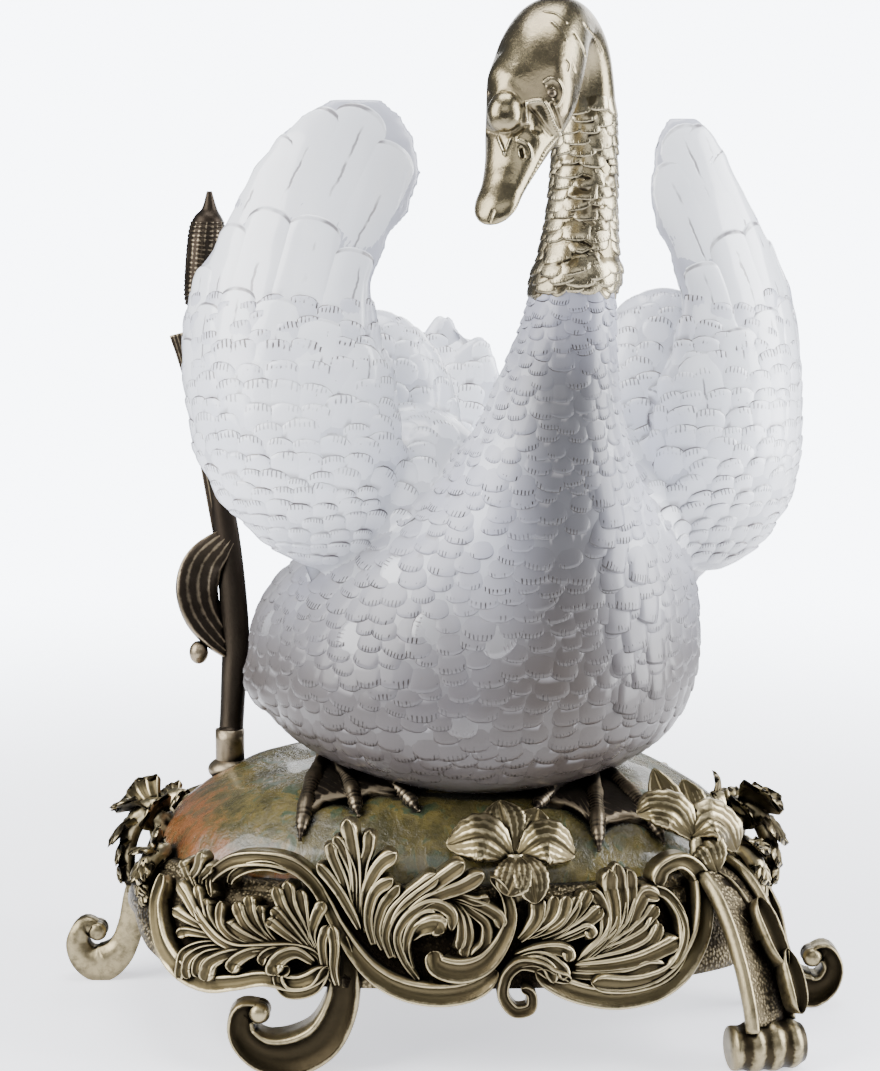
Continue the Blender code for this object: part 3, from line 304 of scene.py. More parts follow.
def seen_on(tree, x, y):
    """The place and outward normal where a sight line meets a skin."""
    place, normal, _, _ = tree.ray_cast(CAMERA_PLACE, sight(x, y))
    return place, normal


# Shader building


def put(tree, kind, sockets=(), **settings):
    """A new node with its settings, and its sockets linked or set."""
    made = tree.nodes.new(kind)
    for key, value in settings.items():
        setattr(made, key, value)
    for name, value in dict(sockets).items():
        if isinstance(value, bpy.types.NodeSocket):
            tree.links.new(value, made.inputs[name])
        else:
            made.inputs[name].default_value = value
    return made


def sums(tree, operation, a, b=0.0, clamp=False):
    return put(tree, "ShaderNodeMath", {0: a, 1: b}, operation=operation, use_clamp=clamp).outputs[0]


def blended(tree, factor, a, b):
    """A mix of two colours."""
    made = put(tree, "ShaderNodeMix", {0: factor, 6: a, 7: b}, data_type="RGBA", clamp_factor=True)
    return made.outputs[2]


def ranged(tree, value, low, high, to_low=0.0, to_high=1.0):
    """A value taken from one range to another, and held inside it."""
    sockets = {"Value": value, "From Min": low, "From Max": high, "To Min": to_low, "To Max": to_high}
    return put(tree, "ShaderNodeMapRange", sockets, interpolation_type="SMOOTHSTEP").outputs[0]


def cloud(tree, place, scale, detail=3.0, roughness=0.55):
    sockets = {"Vector": place, "Scale": scale, "Detail": detail, "Roughness": roughness}
    return put(tree, "ShaderNodeTexNoise", sockets).outputs[0]


def new_finish(name):
    """A material with its shader, its tree and the object's own coordinates."""
    material = bpy.data.materials.new(name)
    material.use_nodes = True
    tree = material.node_tree
    shader = tree.nodes["Principled BSDF"]
    place = put(tree, "ShaderNodeTexCoord").outputs["Object"]
    return material, tree, shader, place


def raised(tree, shader, height, strength, distance):
    bump = put(tree, "ShaderNodeBump", {"Height": height, "Strength": strength, "Distance": distance})
    tree.links.new(bump.outputs[0], shader.inputs["Normal"])


def attribute(tree, name):
    return put(tree, "ShaderNodeAttribute", attribute_name=name).outputs["Fac"]


def make_glaze(name, light, shade, gloss, ink_colour=None, dashes=1.0, outline=0.5):
    """White glaze over porcelain. The breast and the hollows carry painted shade, the belly staining and painted
    shade. With an ink colour, each feather has its dashes and its outline.
    """
    material, tree, shader, place = new_finish(name)
    split = put(tree, "ShaderNodeSeparateXYZ", {0: place})
    across, near, height = split.outputs
    clouds = cloud(tree, place, 14.0, 4.0)
    # Darker and browner towards the bottom of the body: glaze staining together with painted shade under the body
    low = ranged(
        tree, sums(tree, "ADD", height, sums(tree, "MULTIPLY", clouds, 0.06)), 0.172, 0.290, 1.0, 0.0
    )
    white = blended(tree, ranged(tree, clouds, 0.35, 0.7), light, shade)
    # Painted shade: a dark grey band down the front of the breast, strongest low down and fainter up the neck
    beside = sums(tree, "ABSOLUTE", sums(tree, "SUBTRACT", across, 0.050))
    breast = sums(
        tree, "MULTIPLY", ranged(tree, beside, 0.004, 0.040, 1.0, 0.0), ranged(tree, near, -0.055, -0.015, 1.0, 0.0)
    )
    breast = sums(tree, "MULTIPLY", breast, ranged(tree, height, 0.29, 0.37, 0.96, 0.45))
    colour = blended(tree, breast, white, (0.066, 0.065, 0.071, 1))
    colour = blended(tree, sums(tree, "MULTIPLY", low, 0.95), colour, (0.050, 0.040, 0.034, 1))
    # Painted shade in hollows and between the feathers, with some glaze pooled there
    hollow = attribute(tree, "recess")
    colour = blended(tree, ranged(tree, hollow, 0.25, 0.85, 0.0, 0.65), colour, (0.26, 0.25, 0.26, 1))
    specks = ranged(tree, cloud(tree, place, 420.0, 2.0, 0.7), 0.68, 0.76)
    patches = ranged(tree, cloud(tree, place, 26.0, 2.0), 0.54, 0.66)
    specks = sums(tree, "MULTIPLY", specks, patches)
    colour = blended(tree, sums(tree, "MULTIPLY", specks, 0.6), colour, (0.13, 0.11, 0.09, 1))
    relief = sums(tree, "MULTIPLY", cloud(tree, place, 240.0, 3.0), 0.10)
    relief = sums(tree, "ADD", relief, sums(tree, "MULTIPLY", cloud(tree, place, 70.0, 2.0), 0.30))
    neck = ranged(tree, height, SWAN_SEAT + 0.168, SWAN_SEAT + 0.222)
    colour = blended(tree, sums(tree, "MULTIPLY", neck, 0.55), colour, (0.36, 0.37, 0.47, 1))
    if ink_colour:
        ink, groove = feather_lines(tree, place, dashes, outline)
        ink = sums(tree, "MULTIPLY", ink, sums(tree, "ADD", 1.0, neck), clamp=True)
        colour = blended(tree, ink, colour, ink_colour)
        relief = sums(tree, "SUBTRACT", relief, groove)
    tree.links.new(colour, shader.inputs["Base Color"])
    rough = ranged(tree, cloud(tree, place, 40.0, 3.0), 0.3, 0.7, 0.46 - 0.32 * gloss, 0.56 - 0.30 * gloss)
    tree.links.new(rough, shader.inputs["Roughness"])
    shader.inputs["Specular IOR Level"].default_value = 0.25 + 0.25 * gloss
    shader.inputs["Coat Weight"].default_value = 0.6 * gloss
    shader.inputs["Coat Roughness"].default_value = 0.08
    raised(tree, shader, relief, 0.6, 0.0007)
    return material


def feather_lines(tree, place, dashes, outline):
    """Ink and groove masks from a feather's own UV: across 0 to 1, root 0 to the arc of the tip 1."""
    uv = put(tree, "ShaderNodeUVMap", uv_map="UVMap").outputs[0]
    split = put(tree, "ShaderNodeSeparateXYZ", {0: uv})
    across, along = split.outputs[0], split.outputs[1]
    tone = attribute(tree, "tone")
    side = sums(tree, "ABSOLUTE", sums(tree, "SUBTRACT", sums(tree, "MULTIPLY", across, 2.0), 1.0))
    shake = sums(tree, "MULTIPLY", sums(tree, "SUBTRACT", cloud(tree, place, 300.0, 2.0), 0.5), 0.10)
    level = sums(tree, "ADD", along, shake)
    broken = ranged(tree, cloud(tree, place, 150.0, 2.0), 0.44, 0.54)
    patchy = ranged(tree, cloud(tree, place, 48.0, 2.0), 0.34, 0.54, 0.45, 1.0)
    waves = sums(tree, "ADD", sums(tree, "MULTIPLY", across, 58.0), sums(tree, "MULTIPLY", tone, 40.0))
    waves = sums(tree, "ADD", waves, sums(tree, "MULTIPLY", shake, 30.0))
    strokes = ranged(tree, sums(tree, "SINE", waves), 0.25, 0.8)
    rows = sums(
        tree, "MULTIPLY", ranged(tree, level, 0.77, 0.81), ranged(tree, level, 0.95, 0.98, 1.0, 0.0)
    )
    strokes = sums(tree, "MULTIPLY", sums(tree, "MULTIPLY", strokes, rows), broken)
    strokes = sums(tree, "MULTIPLY", strokes, ranged(tree, side, 0.70, 0.88, 1.0, 0.0))
    rim = sums(
        tree, "MULTIPLY", ranged(tree, along, 0.925, 0.945), ranged(tree, along, 0.965, 0.985, 1.0, 0.0)
    )
    flank = sums(tree, "MULTIPLY", ranged(tree, side, 0.86, 0.90), ranged(tree, along, 0.45, 0.65))
    rim = sums(tree, "MULTIPLY", sums(tree, "MAXIMUM", rim, flank), outline)
    rim = sums(tree, "MULTIPLY", rim, ranged(tree, cloud(tree, place, 110.0, 2.0), 0.42, 0.56, 0.35, 1.0))
    ink = sums(tree, "MAXIMUM", sums(tree, "MULTIPLY", strokes, dashes), rim)
    ink = sums(tree, "MULTIPLY", ink, patchy)
    groove = sums(tree, "MAXIMUM", sums(tree, "MULTIPLY", strokes, 0.5), sums(tree, "MULTIPLY", rim, 0.5))
    return ink, groove


def make_quill_glaze():
    """Glaze of the long feathers: a thin outline at the tip, long broken lines, and painted shade in hollows."""
    material, tree, shader, place = new_finish("quill_glaze")
    uv = put(tree, "ShaderNodeUVMap", uv_map="UVMap").outputs[0]
    split = put(tree, "ShaderNodeSeparateXYZ", {0: uv})
    across, along = split.outputs[0], split.outputs[1]
    side = sums(tree, "ABSOLUTE", sums(tree, "SUBTRACT", sums(tree, "MULTIPLY", across, 2.0), 1.0))
    shake = sums(tree, "MULTIPLY", sums(tree, "SUBTRACT", cloud(tree, place, 90.0, 3.0), 0.5), 0.16)
    bent = sums(tree, "ABSOLUTE", sums(tree, "ADD", sums(tree, "SUBTRACT", across, 0.56), shake))
    shaft = ranged(tree, bent, 0.010, 0.028, 1.0, 0.0)
    shaft = sums(tree, "MULTIPLY", shaft, ranged(tree, cloud(tree, place, 60.0, 2.0), 0.46, 0.58))
    shaft = sums(tree, "MULTIPLY", shaft, ranged(tree, along, 0.80, 0.92, 1.0, 0.0))
    rim = sums(
        tree, "MULTIPLY", ranged(tree, along, 0.950, 0.962), ranged(tree, along, 0.974, 0.988, 1.0, 0.0)
    )
    flank = sums(tree, "MULTIPLY", ranged(tree, side, 0.90, 0.93), ranged(tree, along, 0.3, 0.5))
    outline = sums(tree, "MAXIMUM", rim, flank)
    outline = sums(
        tree, "MULTIPLY", outline, ranged(tree, cloud(tree, place, 70.0, 2.0), 0.40, 0.56, 0.25, 1.0)
    )
    clouds = cloud(tree, place, 14.0, 4.0)
    colour = blended(tree, ranged(tree, clouds, 0.35, 0.7), (0.87, 0.895, 0.955, 1), (0.78, 0.81, 0.88, 1))
    # Painted shade in hollows between the long feathers, with some glaze pooled there
    hollow = attribute(tree, "recess")
    colour = blended(tree, ranged(tree, hollow, 0.30, 0.9, 0.0, 0.35), colour, (0.45, 0.45, 0.49, 1))
    ink = sums(tree, "MAXIMUM", sums(tree, "MULTIPLY", shaft, 0.80), sums(tree, "MULTIPLY", outline, 0.90))
    colour = blended(tree, ink, colour, (0.17, 0.155, 0.17, 1))
    tree.links.new(colour, shader.inputs["Base Color"])
    tree.links.new(ranged(tree, clouds, 0.3, 0.7, 0.14, 0.26), shader.inputs["Roughness"])
    shader.inputs["Coat Weight"].default_value = 0.6
    shader.inputs["Coat Roughness"].default_value = 0.05
    soft = sums(tree, "MULTIPLY", cloud(tree, place, 55.0, 2.0), 0.5)
    raised(tree, shader, sums(tree, "SUBTRACT", soft, sums(tree, "MULTIPLY", ink, 0.5)), 0.45, 0.0007)
    return material


def make_bronze(name, deep, body, bright, rub_from, gloss, drawn=False, stipple=0.0):
    """Patinated bronze: dark in its hollows, rubbed bright where an edge stands proud."""
    material, tree, shader, place = new_finish(name)
    hollow = attribute(tree, "recess")
    crest = attribute(tree, "crest")
    clouds = cloud(tree, place, 45.0, 5.0, 0.6)
    fine = cloud(tree, place, 260.0, 4.0, 0.65)
    depth = sums(tree, "ADD", hollow, sums(tree, "MULTIPLY", sums(tree, "SUBTRACT", clouds, 0.5), 0.35))
    dark = ranged(tree, depth, 0.18, 0.62)
    uneven = sums(tree, "MULTIPLY", sums(tree, "SUBTRACT", sums(tree, "ADD", fine, clouds), 1.0), 0.9)
    rub = ranged(tree, sums(tree, "ADD", crest, uneven), rub_from, rub_from + 0.55)
    colour = blended(tree, rub, (*body, 1), (*bright, 1))
    colour = blended(tree, dark, colour, (*deep, 1))
    tint = ranged(tree, cloud(tree, place, 22.0, 3.0), 0.45, 0.7, 0.0, 0.5)
    colour = blended(tree, tint, colour, (body[0] * 0.75, body[1] * 0.70, body[2] * 0.75, 1))
    relief = sums(tree, "MULTIPLY", cloud(tree, place, 700.0, 3.0), 0.5)
    relief = sums(tree, "ADD", relief, sums(tree, "MULTIPLY", clouds, 0.6))
    if stipple:
        dots = put(tree, "ShaderNodeTexVoronoi", {"Vector": place, "Scale": 620.0}).outputs["Distance"]
        dots = ranged(tree, dots, 0.15, 0.65)
        relief = sums(tree, "SUBTRACT", relief, sums(tree, "MULTIPLY", dots, stipple))
        colour = blended(tree, sums(tree, "MULTIPLY", dots, 0.75), colour, (*deep, 1))
    if drawn:
        ink, groove = feather_lines(tree, place, 0.35, 1.0)
        colour = blended(tree, sums(tree, "MULTIPLY", ink, 0.9), colour, (*deep, 1))
        relief = sums(tree, "SUBTRACT", relief, groove)
    tree.links.new(colour, shader.inputs["Base Color"])
    shader.inputs["Metallic"].default_value = 1.0
    dull = sums(tree, "ADD", depth, sums(tree, "MULTIPLY", fine, 0.5))
    rough = ranged(
        tree, sums(tree, "SUBTRACT", dull, sums(tree, "MULTIPLY", rub, 0.3)), 0.0, 0.8, gloss, gloss + 0.28
    )
    tree.links.new(rough, shader.inputs["Roughness"])
    raised(tree, shader, relief, 0.4, 0.0005)
    return material


def make_mottled():
    """Enamel in olive, teal and orange brushed patches under a glossy glaze, with a painted shadow under the swan
    and painted shade in hollows.
    """
    material, tree, shader, place = new_finish("mottled_glaze")
    split = put(tree, "ShaderNodeSeparateXYZ", {0: place})
    left, _, height = split.outputs
    patch = cloud(tree, place, 60.0, 6.0, 0.68)
    stroke = put(tree, "ShaderNodeMapping", {"Vector": place, "Scale": (1.0, 1.0, 0.45)}).outputs[0]
    other = put(
        tree, "ShaderNodeTexNoise", {"Vector": stroke, "Scale": 95.0, "Detail": 5.0, "Distortion": 1.6}
    ).outputs[0]
    fine = cloud(tree, place, 330.0, 4.0, 0.7)
    olive = blended(tree, ranged(tree, patch, 0.38, 0.60), (0.17, 0.145, 0.035, 1), (0.56, 0.44, 0.12, 1))
    teal = sums(tree, "MULTIPLY", ranged(tree, other, 0.53, 0.60), ranged(tree, patch, 0.42, 0.56))
    colour = blended(tree, sums(tree, "MULTIPLY", teal, 0.75), olive, (0.06, 0.22, 0.13, 1))
    around = sums(tree, "ADD", sums(tree, "MULTIPLY", left, 9.0), sums(tree, "MULTIPLY", height, 14.0))
    warm = ranged(tree, sums(tree, "SUBTRACT", sums(tree, "MULTIPLY", patch, 1.6), around), 0.22, 0.62)
    colour = blended(tree, sums(tree, "MULTIPLY", warm, 0.9), colour, (0.78, 0.26, 0.07, 1))
    gold = ranged(tree, other, 0.40, 0.46, 0.55, 0.0)
    colour = blended(tree, gold, colour, (0.36, 0.29, 0.115, 1))
    colour = blended(tree, ranged(tree, fine, 0.54, 0.70, 0.0, 0.5), colour, (0.05, 0.05, 0.025, 1))
    # Painted shadow: the middle of the mound, under the swan, is darkened nearly to black
    under = put(
        tree, "ShaderNodeVectorMath", {0: place, 1: (0.72, 1.15, 0.0)}, operation="MULTIPLY"
    ).outputs[0]
    reach = put(tree, "ShaderNodeVectorMath", {0: under}, operation="LENGTH").outputs["Value"]
    shade = ranged(
        tree, sums(tree, "ADD", reach, sums(tree, "MULTIPLY", patch, 0.03)), 0.115, 0.150, 0.8, 0.0
    )
    colour = blended(tree, shade, colour, (0.012, 0.012, 0.008, 1))
    # Painted shade where the swan, the feet, the reed and the mount close in on the mound
    hollow = attribute(tree, "recess")
    colour = blended(tree, ranged(tree, hollow, 0.30, 0.75), colour, (0.014, 0.014, 0.010, 1))
    tree.links.new(colour, shader.inputs["Base Color"])
    tree.links.new(ranged(tree, other, 0.3, 0.7, 0.16, 0.34), shader.inputs["Roughness"])
    shader.inputs["Coat Weight"].default_value = 0.35
    shader.inputs["Coat Roughness"].default_value = 0.08
    raised(tree, shader, sums(tree, "ADD", patch, sums(tree, "ADD", other, fine)), 0.5, 0.0012)
    return material


# Geometry Nodes: feathers laid on a skin, and how far each point of a piece is hemmed in


def set_input(tree, modifier, name, value):
    """Sets a modifier's input by its socket's identifier."""
    for item in tree.interface.items_tree:
        if item.name == name and item.in_out == "INPUT":
            modifier[item.identifier] = value


def new_geometry_tree(name, inputs):
    tree = bpy.data.node_groups.new(name, "GeometryNodeTree")
    tree.interface.new_socket("Geometry", in_out="INPUT", socket_type="NodeSocketGeometry")
    for label, kind in inputs:
        tree.interface.new_socket(label, in_out="INPUT", socket_type=kind)
    tree.interface.new_socket("Geometry", in_out="OUTPUT", socket_type="NodeSocketGeometry")
    return tree, tree.nodes.new("NodeGroupInput"), tree.nodes.new("NodeGroupOutput")


def named(tree, name, kind="FLOAT_VECTOR"):
    made = put(tree, "GeometryNodeInputNamedAttribute", {"Name": name}, data_type=kind)
    return made.outputs[0]


def make_feather_tree():
    """Lays one feather on every seed and presses it to the skin, raised by its own profile."""
    tree, given, result = new_geometry_tree(
        "Feathers on a skin",
        (
            ("Skin", "NodeSocketObject"),
            ("Feather", "NodeSocketObject"),
            ("Lift", "NodeSocketFloat"),
            ("Seed", "NodeSocketInt"),
            ("Finish", "NodeSocketMaterial"),
        ),
    )
    skin = put(tree, "GeometryNodeObjectInfo", {"Object": given.outputs["Skin"]}).outputs["Geometry"]
    feather = put(tree, "GeometryNodeObjectInfo", {"Object": given.outputs["Feather"]}).outputs["Geometry"]
    faced = put(tree, "FunctionNodeAlignRotationToVector", {"Vector": named(tree, "face")}, axis="Z")
    aimed = put(
        tree,
        "FunctionNodeAlignRotationToVector",
        {"Rotation": faced.outputs[0], "Vector": named(tree, "toward")},
        axis="Y",
        pivot_axis="Z",
    )
    laid = put(
        tree,
        "GeometryNodeInstanceOnPoints",
        {
            "Points": given.outputs["Geometry"],
            "Instance": feather,
            "Rotation": aimed.outputs[0],
            "Scale": named(tree, "size"),
        },
    )
    tone = put(tree, "FunctionNodeRandomValue", {"Seed": given.outputs["Seed"]}, data_type="FLOAT")
    toned = put(
        tree,
        "GeometryNodeStoreNamedAttribute",
        {"Geometry": laid.outputs[0], "Name": "tone", "Value": tone.outputs[1]},
        data_type="FLOAT",
        domain="INSTANCE",
    )
    real = put(tree, "GeometryNodeRealizeInstances", {"Geometry": toned.outputs[0]})
    spot = put(tree, "GeometryNodeInputPosition").outputs[0]
    near = put(tree, "GeometryNodeProximity", {0: skin}, target_element="FACES")
    normal = put(tree, "GeometryNodeInputNormal").outputs[0]
    out = put(
        tree, "GeometryNodeSampleNearestSurface", {"Mesh": skin, "Value": normal}, data_type="FLOAT_VECTOR"
    )
    tree.links.new(spot, out.inputs["Sample Position"])
    rise = put(
        tree, "ShaderNodeMath", {0: named(tree, "rise", "FLOAT"), 1: given.outputs["Lift"]}, operation="MULTIPLY"
    )
    step = put(
        tree, "ShaderNodeVectorMath", {0: out.outputs[0], "Scale": rise.outputs[0]}, operation="SCALE"
    )
    goal = put(tree, "ShaderNodeVectorMath", {0: near.outputs[0], 1: step.outputs[0]}, operation="ADD")
    pressed = put(
        tree, "GeometryNodeSetPosition", {"Geometry": real.outputs[0], "Position": goal.outputs[0]}
    )
    smooth = put(tree, "GeometryNodeSetShadeSmooth", {0: pressed.outputs[0]})
    painted = put(
        tree, "GeometryNodeSetMaterial", {"Geometry": smooth.outputs[0], "Material": given.outputs["Finish"]}
    )
    tree.links.new(painted.outputs[0], result.inputs[0])
    return tree


def make_recess_tree(rays=18):
    """Stores on each point how far something close by hems it in, and how far it stands proud."""
    tree, given, result = new_geometry_tree(
        "Hollows", (("Around", "NodeSocketObject"), ("Reach", "NodeSocketFloat"), ("Edge", "NodeSocketFloat"))
    )
    around = put(tree, "GeometryNodeObjectInfo", {"Object": given.outputs["Around"]}).outputs["Geometry"]
    normal = put(tree, "GeometryNodeInputNormal").outputs[0]
    spot = put(tree, "GeometryNodeInputPosition").outputs[0]
    lift = put(tree, "ShaderNodeVectorMath", {0: normal, "Scale": 0.0004}, operation="SCALE").outputs[0]
    start = put(tree, "ShaderNodeVectorMath", {0: spot, 1: lift}, operation="ADD").outputs[0]
    blocked, weight = None, None
    for n in range(rays):
        rise = 1 - 2 * (n + 0.5) / rays
        turn = n * math.pi * (3 - math.sqrt(5))
        flat = math.sqrt(1 - rise * rise)
        way = (math.cos(turn) * flat, math.sin(turn) * flat, rise)
        facing = put(
            tree, "ShaderNodeVectorMath", {0: normal, 1: way}, operation="DOT_PRODUCT"
        ).outputs["Value"]
        sign = put(tree, "ShaderNodeMath", {0: facing}, operation="SIGN").outputs[0]
        ray = put(tree, "ShaderNodeVectorMath", {0: way, "Scale": sign}, operation="SCALE").outputs[0]
        cast = put(
            tree,
            "GeometryNodeRaycast",
            {
                "Target Geometry": around,
                "Source Position": start,
                "Ray Direction": ray,
                "Ray Length": given.outputs["Reach"],
            },
        )
        share = put(tree, "ShaderNodeMath", {0: facing}, operation="ABSOLUTE").outputs[0]
        near = put(
            tree, "ShaderNodeMath", {
                0: cast.outputs["Hit Distance"], 1: given.outputs["Reach"]
            }, operation="DIVIDE"
        ).outputs[0]
        close = put(tree, "ShaderNodeMath", {0: 1.0, 1: near}, operation="SUBTRACT").outputs[0]
        hit = put(
            tree, "ShaderNodeMath", {0: cast.outputs["Is Hit"], 1: close}, operation="MULTIPLY"
        ).outputs[0]
        part = put(tree, "ShaderNodeMath", {0: hit, 1: share}, operation="MULTIPLY").outputs[0]
        if blocked is None:
            blocked, weight = part, share
        else:
            blocked = put(tree, "ShaderNodeMath", {0: blocked, 1: part}, operation="ADD").outputs[0]
            weight = put(tree, "ShaderNodeMath", {0: weight, 1: share}, operation="ADD").outputs[0]
    share = put(tree, "ShaderNodeMath", {0: blocked, 1: weight}, operation="DIVIDE").outputs[0]
    doubled = put(
        tree, "ShaderNodeMath", {0: share, 1: 1.6}, operation="MULTIPLY", use_clamp=True
    ).outputs[0]
    stored = put(
        tree,
        "GeometryNodeStoreNamedAttribute",
        {"Geometry": given.outputs["Geometry"], "Name": "recess", "Value": doubled},
        data_type="FLOAT",
        domain="POINT",
    )
    middle = put(tree, "GeometryNodeBlurAttribute", {"Iterations": 4}, data_type="FLOAT_VECTOR")
    vector_in = next(socket for socket in middle.inputs if socket.type == "VECTOR" and socket.enabled)
    vector_out = next(socket for socket in middle.outputs if socket.type == "VECTOR" and socket.enabled)
    tree.links.new(spot, vector_in)
    proud = put(tree, "ShaderNodeVectorMath", {0: spot, 1: vector_out}, operation="SUBTRACT").outputs[0]
    swell = put(
        tree, "ShaderNodeVectorMath", {0: proud, 1: normal}, operation="DOT_PRODUCT"
    ).outputs["Value"]
    crest = put(
        tree, "ShaderNodeMath", {0: swell, 1: given.outputs["Edge"]}, operation="DIVIDE", use_clamp=True
    )
    crested = put(
        tree,
        "GeometryNodeStoreNamedAttribute",
        {"Geometry": stored.outputs[0], "Name": "crest", "Value": crest.outputs[0]},
        data_type="FLOAT",
        domain="POINT",
    )
    tree.links.new(crested.outputs[0], result.inputs[0])
    return tree


def feather_sheet(name, columns, rows, profile):
    """A unit feather, -1 to 1 across and along, with its UV and its rise above the skin."""
    bm = bmesh.new()
    layer = bm.loops.layers.uv.new("UVMap")
    rise = bm.verts.layers.float.new("rise")
    grid = []
    for v in rows:
        line = []
        for u in columns:
            x, y, height = profile(u, v)
            vert = bm.verts.new((x, y, 0))
            vert[rise] = height
            line.append((vert, ((u + 1) / 2, v)))
        grid.append(line)
    for low, high in zip(grid, grid[1:]):
        for i in range(len(columns) - 1):
            corners = (low[i], low[i + 1], high[i + 1], high[i])
            face = bm.faces.new([corner[0] for corner in corners])
            for loop, corner in zip(face.loops, corners):
                loop[layer].uv = corner[1]
    mesh = bpy.data.meshes.new(name)
    bm.to_mesh(mesh)
    bm.free()
    return bpy.data.objects.new(name, mesh)


def scale_profile(u, v):
    """A short feather whose far rim is an arc. It sinks at its root and its sides."""
    reach = 0.30 + 0.70 * math.sqrt(1 - abs(u) ** 2.3)
    width = 0.82 + 0.18 * min(1.0, v / 0.5)
    crown = 1 - abs(u) ** 3
    climb = 1.45 * min(1.0, v / 0.82) ** 1.2
    rim = 1 - max(0.0, (v - 0.93) / 0.07) ** 2
    return u * width, v * (1 + reach) - 1, climb * crown * rim - 0.45


def quill_profile(u, v):
    """A long feather with a round tip, domed across."""
    reach = 0.74 + 0.26 * math.sqrt(1 - abs(u) ** 2.2)
    width = 0.80 + 0.20 * min(1.0, v / 0.6)
    crown = 1 - abs(u) ** 4
    climb = 1.4 * min(1.0, v / 0.85)
    rim = 1 - max(0.0, (v - 0.955) / 0.045) ** 2
    return u * width, v * (1 + reach) - 1, climb * crown * rim - 0.4


SCALE_SHEET = feather_sheet(
    "scale_sheet",
    (-1, -0.93, -0.78, -0.5, -0.2, 0.2, 0.5, 0.78, 0.93, 1),
    (0, 0.35, 0.62, 0.82, 0.93, 1.0),
    scale_profile,
)
QUILL_SHEET = feather_sheet(
    "quill_sheet",
    [math.sin(math.pi * (n / 16 - 0.5)) for n in range(17)],
    (0, 0.12, 0.24, 0.35, 0.45, 0.54, 0.62, 0.69, 0.75, 0.80, 0.85, 0.89, 0.925, 0.955, 0.978, 1.0),
    quill_profile,
)
FEATHER_TREE = make_feather_tree()
RECESS_TREE = make_recess_tree()


def lay_feathers(name, seeds, skin, sheet, lift, material):
    """Feathers on every seed (place, face normal, way of the tip, half width, half length)."""
    mesh = bpy.data.meshes.new(name)
    mesh.from_pydata([seed[0] for seed in seeds], [], [])
    for label, column in (("face", 1), ("toward", 2)):
        layer = mesh.attributes.new(label, "FLOAT_VECTOR", "POINT")
        layer.data.foreach_set("vector", [value for seed in seeds for value in seed[column]])
    layer = mesh.attributes.new("size", "FLOAT_VECTOR", "POINT")
    layer.data.foreach_set("vector", [value for seed in seeds for value in (seed[3], seed[4], 1.0)])
    piece = bpy.data.objects.new(name, mesh)
    bpy.context.scene.collection.objects.link(piece)
    modifier = piece.modifiers.new("Feathers", "NODES")
    modifier.node_group = FEATHER_TREE
    for label, value in (
        ("Skin", skin), ("Feather", sheet), ("Lift", lift), ("Seed", 5), ("Finish", material)
    ):
        set_input(FEATHER_TREE, modifier, label, value)
    return baked(piece)


def note_hollows(pieces, around, reach, edge=0.0003):
    """Stores the hollows of each piece, seen among all the pieces around it, and its proud edges."""
    bm = bmesh.new()
    for piece in around:
        bm.from_mesh(piece.data)
    everything = new_piece("around", bm, shift=False)
    for piece in pieces:
        modifier = piece.modifiers.new("Hollows", "NODES")
        modifier.node_group = RECESS_TREE
        set_input(RECESS_TREE, modifier, "Around", everything)
        set_input(RECESS_TREE, modifier, "Reach", reach)
        set_input(RECESS_TREE, modifier, "Edge", edge)
        baked(piece)
    bpy.data.objects.remove(everything)


# The swan's body, wings and tail

# Height above the seat, centre x and y, half width and half length of the body's level slices
BODY_ROWS = (
    (-0.0045, 0.015, -0.026, 0.036, 0.034),
    (0.000, 0.014, -0.020, 0.053, 0.053),
    (0.007, 0.0125, -0.011, 0.072, 0.073),
    (0.016, 0.0115, -0.004, 0.087, 0.088),
    (0.028, 0.011, 0.002, 0.0965, 0.098),
    (0.044, 0.011, 0.006, 0.101, 0.104),
    (0.061, 0.012, 0.008, 0.100, 0.105),
    (0.078, 0.016, 0.006, 0.094, 0.102),
    (0.092, 0.021, -0.003, 0.084, 0.091),
    (0.105, 0.027, -0.017, 0.070, 0.076),
    (0.120, 0.034, -0.032, 0.054, 0.060),
    (0.136, 0.0395, -0.044, 0.041, 0.047),
    (0.155, 0.0435, -0.053, 0.0318, 0.0365),
    (0.172, 0.0455, -0.058, 0.0265, 0.0290),
    (0.191, 0.049, -0.060, 0.0218, 0.0238),
    (0.207, 0.0515, -0.061, 0.0187, 0.0200),
    (0.224, 0.053, -0.061, 0.0165, 0.0172),
    (0.236, 0.0535, -0.061, 0.0160, 0.0164),
)
BACK_CENTRE = (-0.008, 0.036, 0.068)
BACK_AXES = (0.066, 0.066, 0.056)
FLANK_CENTRE = (-0.058, 0.004, 0.036)
FLANK_AXES = (0.036, 0.055, 0.021)
WING_ORIGIN = Vector((0.026, 0.020))
# Height above the seat, inner and outer share of the wing's chord, thickness
WING_ROWS = (
    (0.089, 0.24, 0.36, 0.006),
    (0.095, 0.11, 0.50, 0.016),
    (0.106, 0.03, 0.64, 0.022),
    (0.124, 0.00, 0.82, 0.027),
    (0.146, 0.00, 0.93, 0.028),
    (0.176, 0.03, 0.99, 0.025),
    (0.192, 0.09, 1.00, 0.021),
    (0.213, 0.13, 0.96, 0.016),
    (0.232, 0.08, 0.83, 0.012),
    (0.246, 0.00, 0.75, 0.010),
    (0.260, -0.03, 0.68, 0.009),
    (0.274, 0.00, 0.58, 0.008),
    (0.285, 0.06, 0.47, 0.007),
    (0.292, 0.14, 0.35, 0.006),
)
TAIL_TIPS = (
    (-0.076, 0.110, 0.148),
    (-0.056, 0.115, 0.172),
    (-0.029, 0.116, 0.190),
    (-0.002, 0.113, 0.193),
    (0.016, 0.108, 0.183),
)
WING_LIFTS = {-1: 0.002, 1: -0.005}
WING_SPREADS = {-1: 0.060, 1: 0.050}
WING_CHORDS = {-1: 0.086, 1: 0.084}
# The way each wing leans as it rises, forwards and sideways
WING_LEANS = {-1: (0.864, 0.503), 1: (0.90, 0.0)}
# How far the top of each wing narrows, from its outer and its inner edge
WING_TAPERS = {-1: (0.0, 0.0), 1: (0.36, 0.05)}
